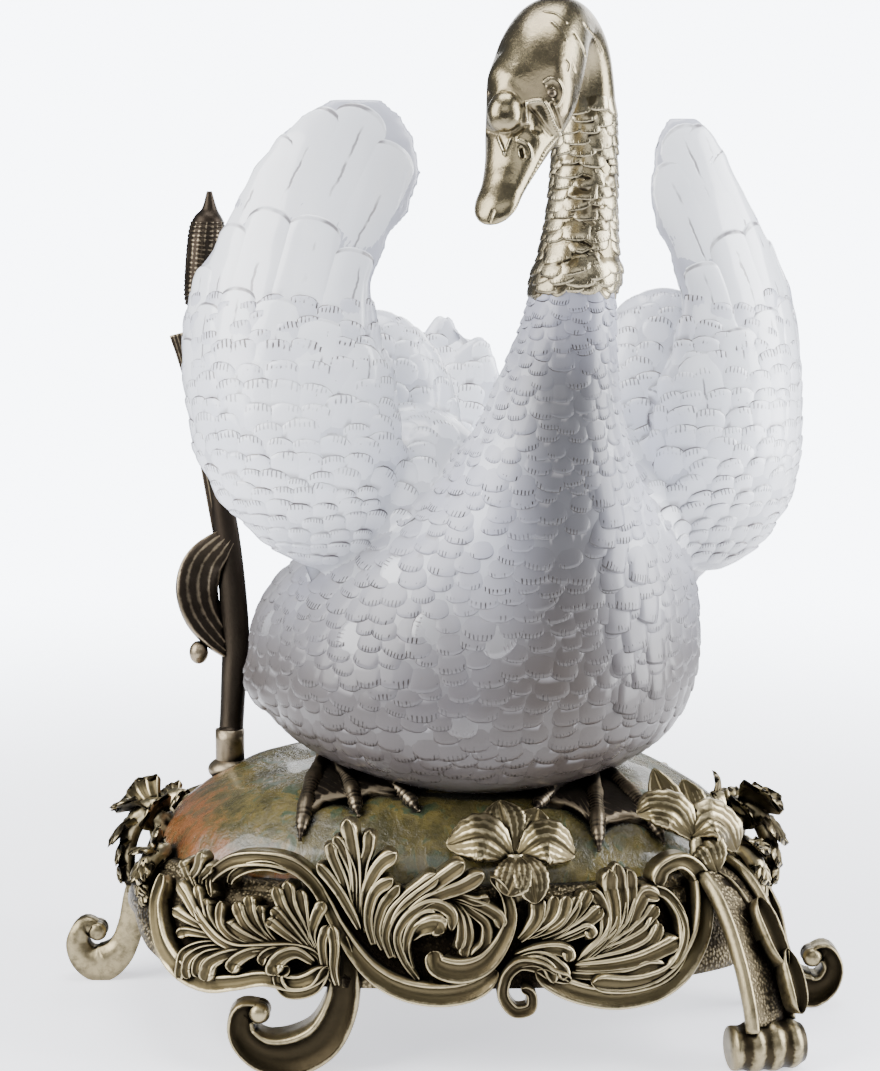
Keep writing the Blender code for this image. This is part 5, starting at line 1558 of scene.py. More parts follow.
def make_foot(name, bronze):
    bm = bmesh.new()
    add_foot(bm, name)
    foot = new_piece(name + "_cast", bm)
    foot.data.materials.append(bronze)
    return foot


# The rococo mount

PANEL_SHARE = MOUNT_HALF_WIDTH / 136.0
RISE_SHARE = FLOOR_UNDERSIDE / 50.0
APRON_DROP = 0.034


def apron_flare(z):
    return APRON_FLARE * min(1.0, max(0.0, (RING_TOP - z) / APRON_DROP))


def on_apron(x, z, out=0.0):
    """A point of the mount's front face from panel millimetres, and its outward normal."""
    height = z * RISE_SHARE
    flare = apron_flare(height)
    half_width, half_depth = MOUNT_HALF_WIDTH + flare, MOUNT_HALF_DEPTH + flare
    across = max(-0.985, min(0.985, x * PANEL_SHARE / half_width))
    depth = half_depth * (1 - abs(across) ** PLAN_POWER) ** (1 / PLAN_POWER)
    slope_x = math.copysign(abs(across) ** (PLAN_POWER - 1) / half_width, across)
    slope_y = -((depth / half_depth) ** (PLAN_POWER - 1)) / half_depth
    normal = Vector((slope_x, slope_y, 0)).normalized()
    beyond = x * PANEL_SHARE - across * half_width
    return Vector((across * half_width + beyond, -depth, height)) + normal * out, normal


def panel_run(points, count, out):
    """Stations on the apron along a curve through panel points, with their normals."""
    path, normals = [], []
    for x, z in smooth_through(points, count):
        place, normal = on_apron(x, z, out)
        path.append(place)
        normals.append(normal)
    return path, normals


def taper(values, count):
    """That many widths, evenly spaced through a few given in panel millimetres."""
    return [v[0] * PANEL_SHARE for v in smooth_through([(v,) for v in values], count)]


# Scroll bands: panel points, half widths, how far the middle stands out, half thickness
BANDS = (
    (
        (
            (-99, 72), (-97, 82), (-87, 87), (-73, 89), (-60, 85),
            (-50, 76), (-44, 62), (-38, 51), (-27, 41), (-10, 34),
        ),
        (2.0, 2.6, 3.0, 3.2, 3.4, 3.6, 3.8, 4.2, 4.6, 5.0),
        4.0,
        4.2,
    ),
    (
        (
            (-14, 35), (0, 33), (11, 36), (21, 44), (26, 55), (26, 69),
            (19, 80), (7, 84), (-6, 82), (-16, 73), (-17, 61), (-11, 52),
        ),
        (4.8, 5.0, 4.8, 4.4, 3.8, 3.6, 3.6, 3.6, 3.4, 3.2, 3.0, 2.8),
        4.6,
        4.4,
    ),
    (
        ((-12, 53), (-1, 50), (8, 54), (11, 63), (6, 71), (-2, 70), (-4, 63)),
        (3.0, 3.4, 3.4, 3.2, 3.0, 3.2, 4.0),
        6.0,
        4.2,
    ),
    (
        (
            (36, 46), (47, 39), (58, 35), (70, 33), (84, 35), (95, 42),
            (103, 54), (105, 67), (103, 78), (96, 85), (88, 83), (85, 76),
        ),
        (3.6, 4.2, 4.4, 4.4, 4.4, 4.4, 4.2, 4.0, 3.6, 3.4, 3.6, 4.2),
        4.4,
        4.4,
    ),
    (
        ((80, 76), (89, 72), (95, 62), (95, 50), (88, 42), (74, 39), (58, 41)),
        (1.8, 2.2, 2.6, 3.0, 3.4, 3.8, 4.2),
        5.0,
        4.0,
    ),
    (
        ((33, 47), (28, 41), (25, 35), (29, 30), (34, 33), (31, 37)),
        (2.6, 2.6, 2.6, 2.8, 2.6, 2.8),
        5.0,
        4.4,
    ),
    (
        (
            (-119, 73), (-122, 61), (-119, 48), (-110, 39), (-99, 36),
            (-88, 38), (-76, 41), (-62, 40), (-50, 46),
        ),
        (2.4, 3.0, 3.8, 4.0, 3.8, 3.2, 3.0, 3.2, 3.4),
        4.0,
        4.2,
    ),
    (((-50, 47), (-56, 38), (-66, 36), (-70, 42), (-66, 46)), (2.0, 2.4, 2.6, 2.4, 2.2), 4.6, 4.0),
)
# Legs: places in panel millimetres (x, y, z), the way the broad face looks, half widths, half thickness
LEGS = (
    (
        (
            (-46, -103, 76), (-45, -106, 60), (-44, -107, 42), (-46, -107, 28), (-53, -107, 15),
            (-65, -106, 8), (-78, -105, 8), (-87, -104, 15), (-87, -104, 24), (-80, -104, 25),
        ),
        (0.1, -1.0, 0.0),
        (5, 6, 7, 8, 8.5, 9, 8.5, 7, 6, 5),
        (5, 5.5, 6, 6.8, 7.8, 8.2, 7.2, 5.8, 4.8, 4.0),
        True,
    ),
    (
        ((110, -66, 80), (118, -76, 74), (125, -86, 62), (130, -95, 46), (133, -102, 30), (134, -105, 19)),
        (0.72, -0.7, 0.0),
        (11, 13, 14.5, 14.5, 14, 13.5),
        (3.4, 3.4, 3.6, 3.6, 3.8, 4.4),
        False,
    ),
    (
        (
            (134, -13, 74), (141, -17, 58), (146, -19, 42), (149, -20, 27), (154, -20, 14),
            (163, -20, 7.5), (171, -20, 10), (174.5, -20, 18), (171, -20, 25), (165, -20, 23),
        ),
        (0.9, 0.0, 0.3),
        (8, 8, 8, 7.5, 7, 7, 7, 6.5, 6, 5.5),
        (5, 5, 5, 5.2, 6, 7.4, 5.6, 4.4, 3.8, 3.4),
        True,
    ),
)
# The horizontal roll at the bottom of the corner leg: two ends and its radius
ROLL_ENDS = ((118.5, -109, 10.2), (149, -101, 10.2))
ROLL_RADIUS = 11.0
# Leaves that hang over the ends: rib places, lobe reach, lobes a side, lean
END_LEAVES = (
    (((130, 4, 74), (134, 3, 86), (142, 1, 83), (147, 0, 72), (148, -1, 59), (145, -1, 48)), 19, 4, 48),
    (((124, -40, 70), (129, -43, 80), (135, -46, 73), (137, -48, 61), (134, -50, 50)), 13, 3, 48),
    (((125, 42, 70), (129, 47, 78), (134, 51, 69), (133, 53, 58)), 13, 3, 48),
)
# Flowers and leaves that stand on the front rim: places of their ribs and half widths
SPRAYS = (
    (((27, -93, 88), (14, -93, 97), (-1, -90, 93)), (3.5, 9.5, 2.0)),
    (((27, -92, 90), (23, -86, 102), (21, -81, 110)), (3.5, 8.5, 1.5)),
    (((29, -92, 90), (35, -86, 100), (38, -83, 107)), (3.5, 7.5, 1.5)),
    (((29, -93, 89), (41, -92, 95), (53, -89, 88)), (3.5, 9.0, 2.0)),
    (((28, -96, 90), (27, -104, 84), (24, -108, 76)), (4.0, 7.0, 6.5)),
    (((30, -96, 90), (34, -105, 83), (36, -109, 73)), (4.0, 6.5, 4.5)),
    (((108, -70, 88), (102, -66, 97), (95, -60, 105), (89, -55, 118)), (2.2, 3.2, 6.5, 1.2)),
    (((108, -70, 90), (108, -64, 98), (105, -59, 105), (102, -55, 113)), (2.2, 3.2, 6.0, 1.2)),
    (((106, -72, 90), (98, -73, 102), (88, -73, 105), (81, -72, 102)), (3.0, 7.5, 7.0, 1.2)),
    (((104, -72, 92), (112, -71, 99), (120, -66, 94), (125, -61, 83)), (3.0, 8.5, 7.5, 1.5)),
    (((107, -72, 88), (111, -77, 88), (115, -78, 78)), (3.0, 7.0, 2.0)),
)
SPRAY_STEMS = (
    (((27, -97, 70), (28, -96, 82), (28, -94, 90)), 4.0),
    (((104, -76, 70), (107, -74, 82), (107, -71, 91)), 3.6),
)


def place_in_mount(x, y, z):
    """A place in the mount from panel millimetres."""
    depth_share = MOUNT_HALF_DEPTH / 98.0
    return Vector((x * PANEL_SHARE, y * depth_share, z * RISE_SHARE))


def run_in_mount(points, count):
    return [place_in_mount(*p) for p in smooth_through(points, count)]


def add_hoop(bm, sections):
    """A closed band from equal sections that go once round."""
    rows = [[bm.verts.new(p) for p in section] for section in sections]
    faces = []
    for low, high in zip(rows, rows[1:] + rows[:1]):
        for i in range(len(low)):
            j = (i + 1) % len(low)
            faces.append(bm.faces.new((low[i], low[j], high[j], high[i])))
    bmesh.ops.recalc_face_normals(bm, faces=faces)


def apron_bottom(angle):
    """Height of the apron's lower edge. It drops at the front and back, not at the ends."""
    face = abs(math.sin(angle))
    drop = 0.014 * min(1.0, max(0.0, (face - 0.35) / 0.3))
    return FLOOR_UNDERSIDE + 0.001 - drop

# A lobe of an acanthus leaf: its width along its length, and how many flutes it has
LOBE_WIDTHS = (0.26, 0.36, 0.47, 0.59, 0.71, 0.82, 0.92, 1.0, 1.03, 0.98, 0.80, 0.42)
FLUTES = 4
LOBE_COLUMNS = 17


def add_lobe(bm, root, ahead, across, normal, length, width, angles, arch, curl):
    """A fluted fan with a scalloped, curled rim. It leaves its root at one angle and ends at the other."""
    steps = len(LOBE_WIDTHS)
    start, finish = angles
    spot = root.copy()
    rings = []
    for k, share in enumerate(LOBE_WIDTHS):
        s = k / (steps - 1)
        angle = start + (finish - start) * min(1.0, s * 1.2)
        way = ahead * math.cos(angle) + across * math.sin(angle)
        if k:
            spot = spot + way * length / (steps - 1)
        side = way.cross(normal).normalized()
        top, bottom = [], []
        for i in range(LOBE_COLUMNS):
            u = 2 * i / (LOBE_COLUMNS - 1) - 1
            flute = abs(math.sin(math.pi * FLUTES * (u + 1) / 2))
            ridge = (1 - flute) ** 1.3
            high = arch * math.sin(math.pi * min(1.0, 0.12 + s * 0.86)) * (1 - 0.45 * u * u)
            high += 0.0019 * (0.25 + 0.75 * min(1.0, s * 1.6)) * (ridge - 0.5)
            high += curl * s**4
            back = length * s**3 * (0.16 * ridge + 0.22 * u * u)
            place = spot + side * (u * width * share) - way * back + normal * high
            top.append(place)
            if i % 4 == 0:
                bottom.append(place - normal * (0.0022 + 0.0012 * (1 - s)))
        rings.append(top + bottom[::-1])
    add_shell(bm, rings)


def add_fluted_leaf(bm, spine, normals, reach, lobes, lean, fullness, curl=0.0016):
    """An acanthus leaf: a fluted rib, and beside it overlapping fluted lobes that flow off the rib."""
    last = len(spine) - 1
    rib = rounded_ends([0.0026 * (1.25 - 0.75 * n / last) for n in range(last + 1)], 2)
    raised_spine = [p + n * 0.0024 for p, n in zip(spine, normals)]
    add_profile(bm, raised_spine, normals, rib, [w * 1.0 for w in rib], FLUTE)
    for n in reversed(range(lobes)):
        for side in (-1, 1):
            t = (n + 0.12) / lobes * 0.90
            i = min(last - 1, int(t * last))
            share = t * last - i
            root = spine[i].lerp(spine[i + 1], share)
            ahead = (spine[i + 1] - spine[i]).normalized()
            normal = normals[i].lerp(normals[i + 1], share).normalized()
            across = ahead.cross(normal).normalized() * side
            swell = 0.62 + 0.62 * math.sin(math.pi * min(1.0, 0.15 + 0.9 * t))
            size = reach * swell * (1.05 - 0.55 * t) * random.uniform(0.92, 1.08)
            angles = (math.radians(14), math.radians(104 - lean))
            low = root - normal * 0.0009 * (n % 2)
            width = size * (fullness + 0.10)
            add_lobe(bm, low, ahead, across, normal, size * 1.12, width, angles, 0.0036, curl)
    ahead = (spine[-1] - spine[-2]).normalized()
    across = ahead.cross(normals[-1]).normalized()
    root = spine[-1] - ahead * reach * 0.34
    add_lobe(bm, root, ahead, across, normals[-1], reach * 0.62, reach * 0.26, (0.0, 0.0), 0.0030, curl)


def add_front_scrolls(bm):
    bands = [(points, widths, out, depth) for points, widths, out, depth in BANDS[3:5] + BANDS[6:]]
    bands += [(points, widths, out, 4.4) for points, widths, out in SCROLLWORK]
    for points, widths, out, depth in bands:
        count = len(points) * 8
        path, normals = panel_run(points, count, (out + 0.4) * PANEL_SHARE)
        sizes = rounded_ends([w * 1.08 for w in taper(widths, count)])
        add_profile(bm, path, normals, sizes, [depth * PANEL_SHARE] * count, SCROLL)


# Bands of the scrollwork: panel points, half widths and stand-off in millimetres
SCROLLWORK = (
    (
        (
            (-97, 69), (-98.5, 75.5), (-95.5, 81), (-88, 86.5), (
                -76.5, 88.5
            ), (-65.5, 87), (-57, 81), (-51, 72),
            (-46, 63), (-39, 53), (-31, 45), (-20, 39), (-8, 36.5), (3, 37), (12, 40), (19, 46),
        ),
        (1.6, 2.2, 2.8, 3.0, 3.0, 3.0, 2.8, 2.6, 2.6, 3.0, 3.6, 4.2, 4.6, 4.6, 4.2, 3.0),
        4.0,
    ),
    (
        ((-7, 53.5), (-4.5, 48.5), (5, 46.5), (14.5, 49.5), (21.5, 57.5), (25, 67), (23, 76.5), (17, 84)),
        (3.2, 4.4, 4.8, 4.2, 3.2, 2.6, 2.2, 1.8),
        5.6,
    ),
    (((-90, 75), (-88.5, 80), (-82, 84.5), (-74, 86), (-66, 84)), (1.4, 2.0, 2.2, 2.0, 1.4), 4.6),
    (
        (
            (50, 42.5), (42, 45), (36.5, 48), (29, 49), (23.5, 44.5), (22, 36.5), (26.5, 30), (33, 31), (33.5, 37), (29.5, 40)
        ),
        (2.4, 2.8, 2.8, 2.6, 2.4, 2.4, 2.4, 2.2, 2.0, 1.8),
        5.4,
    ),
)
# Strands of the acanthus leaves: panel points from root to tip, and half width, in millimetres
STRANDS = (
    # left leaf
    (((-54.5, 52), (-56.5, 59), (-54.5, 66.5), (-51.5, 72)), 1.8),
    (((-55, 52), (-58.5, 60), (-60, 69), (-61.5, 76.5)), 1.9),
    (((-56, 52.5), (-60, 61.5), (-64.5, 70), (-66.5, 80)), 2.1),
    (((-56.5, 53), (-62, 61), (-68, 69.5), (-71, 77.5)), 1.9),
    (((-57.5, 52.5), (-63, 59), (-68.5, 65), (-72.5, 68.5)), 1.8),
    (((-58.5, 52.5), (-65.5, 58), (-71, 62), (-74.5, 64)), 1.6),
    (((-71, 54), (-75, 59), (-77, 64), (-77.5, 69)), 1.6),
    (((-72.5, 54), (-78, 60), (-81, 66), (-82, 72.5)), 2.0),
    (((-73.5, 54), (-80.5, 58.5), (-84.5, 63), (-87, 69.5)), 2.0),
    (((-75, 53.5), (-82, 56), (-87.5, 58.5), (-91, 61)), 1.9),
    (((-78, 53), (-85, 54), (-90.5, 57), (-93.5, 61.5), (-93, 69)), 1.5),
    (((-90.5, 52.5), (-96, 58), (-99, 64), (-99.5, 69)), 1.6),
    (((-93, 52.5), (-99, 59), (-101, 63.5), (-102.5, 68.5), (-103.5, 73.5)), 1.7),
    (((-96, 54), (-102.5, 61), (-106, 66.5), (-111, 73.5)), 1.9),
    (((-104, 68), (-107, 74.5), (-108.5, 79), (-110, 83)), 1.8),
    (((-103.5, 68), (-105.5, 76), (-103, 81), (-101, 88.5)), 1.6),
    (((-102.5, 68.5), (-102.5, 75.5), (-100, 79.5), (-97, 83)), 1.5),
    (((-99, 56.5), (-104.5, 59), (-109, 61), (-113, 62.5)), 1.6),
    (((-96.5, 54), (-103, 55), (-108, 55), (-112, 53)), 1.5),
    (((-56, 48), (-62.5, 52), (-68, 50.5), (-71, 46.5), (-70, 43)), 2.4),
    (((-64, 53), (-71.5, 52.5), (-75.5, 50), (-76.5, 46)), 1.5),
    (((-71, 52.5), (-80.5, 51), (-87, 47), (-89, 42)), 2.0),
    (((-79, 51.5), (-89, 49.5), (-96, 46), (-98.5, 42), (-99, 37.5)), 2.1),
    (((-87.5, 50), (-96.5, 49), (-101, 46.5), (-103, 42.5), (-102, 38.5)), 1.6),
    (((-93, 51.5), (-101, 49.5), (-105.5, 46), (-107.5, 41.5), (-106.5, 37)), 1.5),
    (((-96, 52.5), (-103.5, 50.5), (-108.5, 47), (-110, 42.5), (-110.5, 35)), 1.5),
    # left rib
    (
        ((-51.5, 44.5), (-55, 51.5), (-64, 54), (-76.5, 53), (-87.5, 52), (-95, 54.5), (-101, 60), (-104.5, 66)), 1.5
    ),
    (((-46.5, 40), (-47.5, 46.5), (-47, 55), (-48, 63)), 1.6),
    (((-48.5, 41.5), (-51, 47.5), (-52, 56.5), (-50, 63)), 1.6),
    # palmette
    (((-37.5, 61.5), (-40, 67.5), (-46.5, 78.5), (-54, 88.5)), 1.7),
    (((-38.5, 64.5), (-41.5, 72), (-44, 82), (-48, 92.5), (-48.5, 97.5)), 1.8),
    (((-39, 65.5), (-39.5, 75.5), (-40, 85.5), (-44, 95.5), (-47, 100.5)), 1.7),
    (((-38.5, 66.5), (-38.5, 78), (-39, 89.5), (-40.5, 99.5), (-42, 108)), 2.2),
    (((-37, 66.5), (-36.5, 78), (-35.5, 88.5), (-33.5, 96), (-33, 103)), 1.8),
    (((-34, 60), (-35, 70), (-33.5, 79.5), (-28.5, 88.5), (-22, 93.5)), 2.1),
    (((-31.5, 55.5), (-33.5, 64.5), (-32.5, 72.5), (-29.5, 78.5), (-23.5, 82.5)), 1.8),
    (((-27.5, 53.5), (-30, 61), (-28, 70), (-25, 74.5), (-21, 79.5)), 1.7),
    (((-24, 50.5), (-26.5, 59), (-24, 67.5), (-18.5, 73.5), (-10.5, 80), (-5, 84.5)), 2.1),
    (((-21.5, 50.5), (-23, 62), (-19, 70.5), (-9.5, 78), (0, 85), (6, 89.5)), 2.1),
    (((-20, 53.5), (-19, 64.5), (-11.5, 72.5), (-3, 76.5), (6, 80), (14, 85)), 2.0),
    # volute leaf
    (((-0.5, 75), (5.5, 75), (11.5, 73.5), (16.5, 74.5)), 1.5),
    (((0.5, 74.5), (8, 73), (14.5, 71), (20, 67.5), (22, 62.5)), 1.8),
    (((2, 73), (9, 69), (14.5, 65), (15.5, 60.5), (14, 55.5), (8.5, 51.5)), 1.8),
    (((2, 72.5), (6.5, 67), (8, 60), (6.5, 54.5), (6, 51)), 1.7),
    (((1, 72), (4.5, 66.5), (5, 60), (3.5, 54.5)), 1.5),
    (
        ((-13, 42), (-19, 50.5), (-21.5, 59), (-18, 66.5), (-10.5, 71.5), (-4.5, 72), (0.5, 68.5), (1, 62)), 1.7
    ),
    (((-15.5, 45.5), (-18, 54.5), (-16, 63), (-11, 67.5), (-5.5, 68.5)), 1.6),
    (((-16, 59), (-11.5, 63), (-6, 64.5), (-1.5, 62)), 2.9),
    # right leaf
    (((29, 57.5), (33, 62), (36, 67), (36.5, 74)), 2.1),
    (((31.5, 58.5), (38, 63), (41.5, 68), (43, 74.5)), 1.9),
    (((34, 59), (42, 63), (46, 67.5), (48, 74.5)), 1.8),
    (((38, 58.5), (45, 62.5), (50, 67.5), (52, 74)), 1.7),
    (((40.5, 57.5), (47, 62), (50.5, 66.5), (54.5, 71.5), (57, 76.5)), 1.8),
    (((41.5, 57), (49.5, 61), (56.5, 65), (62, 69.5)), 2.1),
    (((43, 56), (50.5, 59.5), (56.5, 61.5), (58.5, 57.5)), 1.8),
    (((53, 48), (58, 53), (63, 58.5), (63.5, 65.5), (61, 72.5), (57.5, 76.5)), 1.9),
    (((54, 49), (60.5, 54), (66.5, 61), (67, 69), (65.5, 77.5), (65.5, 85)), 2.2),
    (((55.5, 49.5), (62, 55), (69, 62), (70.5, 70), (69.5, 79), (68, 87.5)), 1.9),
    (((57, 50), (63, 55), (70, 60.5), (73.5, 69.5), (74, 78), (73, 84.5)), 1.8),
    (((58, 50.5), (66.5, 56), (73, 61.5), (76.5, 68.5), (80, 73.5), (86, 71.5)), 2.2),
    (((59.5, 51), (67.5, 55.5), (75.5, 60), (81, 64.5), (84, 68.5)), 1.9),
    (((57, 50), (66.5, 53.5), (74.5, 56), (81, 59.5), (83, 64)), 1.8),
    (((53, 47.5), (63, 49.5), (73.5, 51.5), (82, 55), (85.5, 61.5)), 1.8),
    (((51.5, 46.5), (63, 47), (75.5, 48.5), (86, 51.5), (93.5, 54.5)), 2.2),
    (((49, 43.5), (63, 43), (73, 43.5), (81, 45.5), (88, 45)), 1.8),
    (((27, 51), (34.5, 53.5), (42.5, 54.5), (48, 53), (48.5, 49)), 1.9),
    (((27.5, 50), (35.5, 52), (41.5, 50.5), (46, 46.5), (46.5, 42.5)), 1.8),
    (((26, 47), (29, 49), (35.5, 50), (40.5, 47.5), (43, 41.5)), 1.8),
    # right strand
    (((87.5, 73), (93, 67.5), (96, 58), (93.5, 49), (88.5, 44.5)), 1.5),
)


def add_strand(bm, points, half_width, rise):
    """A hollow strand of a leaf that lifts off the panel, widens and curls out at its round tip."""
    count = 7 * len(points)
    last = count - 1
    path, normals, sizes = [], [], []
    for n, (x, z) in enumerate(smooth_through(points, count)):
        t = n / last
        out = 0.0016 + rise * math.sin(math.pi * (0.10 + 0.62 * t)) + 0.0016 * max(0.0, t - 0.78) / 0.22
        place, normal = on_apron(x, z, out)
        path.append(place)
        normals.append(normal)
        tip = math.sqrt(max(0.05, 1 - max(0.0, (t - 0.86) / 0.14) ** 2))
        sizes.append(half_width * PANEL_SHARE * (0.55 + 0.80 * t**0.7) * tip * 1.42)
    depths = [0.0017 + 0.60 * size for size in sizes]
    add_profile(bm, path, normals, sizes, depths, STRAND)


def add_front_leaves(bm):
    for points, half_width in STRANDS:
        add_strand(bm, points, half_width, 0.0046 * random.uniform(0.86, 1.14))


# Dished lobes along the corner leg's outer edge: places in panel millimetres and half widths
LEG_SPOONS = (
    (((112, -76, 76), (118, -80, 70), (124, -85, 62), (127, -89, 56)), (3.0, 5.6, 5.4, 2.6)),
    (((130, -86, 68), (134, -90, 60), (138, -95, 50), (141, -99, 42)), (3.4, 5.4, 5.0, 2.6)),
    (((141, -95, 48), (144, -99, 40), (146, -103, 31), (146, -105, 24)), (3.0, 5.0, 4.8, 3.0)),
)


def add_leg_grounds(bm):
    """The flat ground of the corner leg, between its edges."""
    for points, look, widths, depths, rolled in LEGS:
        if rolled:
            continue
        count = len(points) * 6
        depths = [d * 0.62 for d in taper(depths, count)]
        add_strip(
            bm, run_in_mount(points, count), [Vector(look)] * count, taper(widths, count), depths, 12, 3.0
        )


def add_leg_castings(bm):
    for points, look, widths, depths, rolled in LEGS:
        count = len(points) * 6
        path = run_in_mount(points, count)
        normal = Vector(look).normalized()
        lateral = Vector((-normal.y, normal.x, 0)).normalized()
        if rolled:
            side = Vector((0, 1, 0))
            path, thick, deep = path[7:], taper(depths, count)[7:], taper(widths, count)[7:]
            thick = [t * 1.12 * math.sqrt(min(1.0, (n + 1) / 6)) for n, t in enumerate(thick)]
            add_profile(bm, path, [-side] * len(path), thick, deep, ROLLED)
            middle = [path[-1] + side * 0.014 * (n / 8 - 0.5) for n in range(9)]
            swell = [0.0046 * w for w in (0.5, 0.88, 1, 0.9, 0.94, 0.9, 1, 0.88, 0.5)]
            add_strip(bm, middle, [side.orthogonal()] * 9, swell, swell, 24)
        else:
            for edge in (-1, 1):
                sizes = taper(widths, count)
                rim = [p + lateral * edge * w * 0.92 + normal * 0.0022 for p, w in zip(path, sizes)]
                add_strip(bm, rim, [normal] * count, [0.0022] * count, [0.0034] * count, 12)
    ends = [place_in_mount(*p) for p in ROLL_ENDS]
    radius = ROLL_RADIUS * PANEL_SHARE
    path = [ends[0].lerp(ends[1], n / 40) for n in range(41)]
    swell = []
    for n in range(41):
        t = n / 40
        barrel = 1 - 0.16 * abs(2 * t - 1) ** 3
        ridge = 0.05 * math.cos(2 * math.pi * 3.5 * t)
        swell.append(radius * (barrel - 0.04 + ridge))
    add_strip(bm, path, [Vector((0, 0, 1))] * 41, swell, swell, 36)
    look = Vector((0.62, -0.78, 0.1)).normalized()
    for points, widths in LEG_SPOONS:
        path = run_in_mount(points, 22)
        sizes = rounded_ends(taper(widths, 22), 5)
        add_profile(bm, path, [look] * 22, sizes, [0.0040] * 22, SPOON)


ROLLED = (
    (-1, -0.9), (-1.0, 0.4), (-0.93, 0.82), (-0.80, 0.96), (-0.66, 0.84), (-0.46, 0.50), (0, 0.38),
    (0.46, 0.50), (0.66, 0.84), (0.80, 0.96), (0.93, 0.82), (1, 0.4), (1, -0.9), (0, -1.0),
)


def add_end_clumps(bm):
    for points, reach, lobes, lean in END_LEAVES:
        path = run_in_mount(points, 22)
        middle = place_in_mount(112, points[0][1], 58)
        normals = [(p - middle).normalized() for p in path]
        core = [0.0066 * (1.15 - 0.75 * n / 21) for n in range(22)]
        add_strip(bm, path, normals, core, [w * 0.9 for w in core], 14)
        add_fluted_leaf(bm, path, normals, reach * PANEL_SHARE, lobes + 1, lean, 0.42, 0.002)


def both_halves(bm):
    """Adds the same castings turned half round."""
    half = bm.copy()
    bmesh.ops.transform(half, matrix=Matrix.Rotation(math.pi, 4, "Z"), verts=half.verts)
    other = bpy.data.meshes.new("second_half")
    half.to_mesh(other)
    half.free()
    bm.from_mesh(other)
    return bm


def add_mount_frame(bm, segments=240):
    rim, apron = [], []
    inset = RING_WALL + 0.0012
    for n in range(segments):
        angle = 2 * math.pi * n / segments
        outer = plan_point(angle, MOUNT_HALF_WIDTH, MOUNT_HALF_DEPTH)
        inner = plan_point(angle, MOUNT_HALF_WIDTH - inset, MOUNT_HALF_DEPTH - inset)
        section = ((inner, FLOOR_UNDERSIDE), (outer, FLOOR_UNDERSIDE), (outer, RING_TOP - 0.002))
        section += (((outer * 2 + inner) / 3, RING_TOP), (inner, RING_TOP))
        rim.append([p + Vector((0, 0, z)) for p, z in section])
        outside, inside = [], []
        bottom = apron_bottom(angle)
        for k in range(10):
            z = RING_TOP - 0.004 + (bottom - RING_TOP + 0.004) * k / 9
            flare = apron_flare(z)
            outside.append(
                plan_point(angle, MOUNT_HALF_WIDTH + flare, MOUNT_HALF_DEPTH + flare) + Vector((0, 0, z))
            )
            thin = flare - APRON_THICKNESS
            inside.append(
                plan_point(angle, MOUNT_HALF_WIDTH + thin, MOUNT_HALF_DEPTH + thin) + Vector((0, 0, z))
            )
        apron.append(outside + inside[::-1])
    add_hoop(bm, rim)
    add_hoop(bm, apron)
    plate = [
        plan_point(2 * math.pi * n / segments, MOUNT_HALF_WIDTH - 0.002, MOUNT_HALF_DEPTH - 0.002) for n in range(segments)
    ]
    add_loft(
        bm, [[p + Vector((0, 0, z)) for p in plate] for z in (FLOOR_UNDERSIDE, FLOOR_UNDERSIDE + FLOOR_THICKNESS)]
    )


PETAL = (
    (-1, -0.5), (-1.0, 0.3), (-0.86, 0.62), (-0.66, 0.52), (-0.56, 0.66), (-0.36, 0.50), (-0.26, 0.60), (
        -0.08, 0.42
    ),
    (0, 0.30), (0.08, 0.42), (0.26, 0.60), (0.36, 0.50), (0.56, 0.66), (0.66, 0.52), (
        0.86, 0.62
    ), (1.0, 0.3),
    (1, -0.5), (0, -0.9),
)


def add_spray_castings(bm):
    for points, widths in SPRAYS:
        count = 26
        path = run_in_mount(points, count)
        normals = [Vector((0, -0.75, 0.66))] * count
        top = max(widths)
        full = (widths[0], *[min(top * 1.18, w * 1.18) for w in widths[1:-1]], max(widths[-1], top * 0.62))
        sizes = rounded_ends(taper(full, count), 7)
        sizes = [size * (1 + 0.04 * math.sin(2.1 * n)) for n, size in enumerate(sizes)]
        add_profile(bm, path, normals, sizes, [max(0.0016, w * 0.34) for w in sizes], PETAL)
    for points, radius in SPRAY_STEMS:
        path = run_in_mount(points, 14)
        radii = [radius * PANEL_SHARE * (1 + 0.08 * (n % 2)) for n in range(14)]
        add_strip(bm, path, [Vector((1, 0, 0))] * 14, radii, radii, 14)


def make_mount(bronze, ground, leg_bronze):
    makers = (
        ("mount_frame", (add_mount_frame,), False),
        ("mount_leg_grounds", (add_leg_grounds,), True),
        ("mount_scrolls", (add_front_scrolls,), True),
        ("mount_leaves", (add_front_leaves,), True),
        ("mount_legs", (add_leg_castings,), True),
        ("mount_end_leaves", (add_end_clumps,), True),
        ("mount_sprays", (add_spray_castings,), False),
    )
    pieces = []
    for name, steps, twice in makers:
        bm = bmesh.new()
        for step in steps:
            step(bm)
        if twice:
            both_halves(bm)
        for vert in bm.verts:
            vert.co.z = max(vert.co.z, 0.0)
        piece = new_piece(name, bm)
        finishes = {"mount_frame": ground, "mount_leg_grounds": ground, "mount_legs": leg_bronze}
        piece.data.materials.append(finishes.get(name, bronze))
        pieces.append(piece)
    return pieces


# The bulrush

REED_FOOT = (-0.103, 0.033)
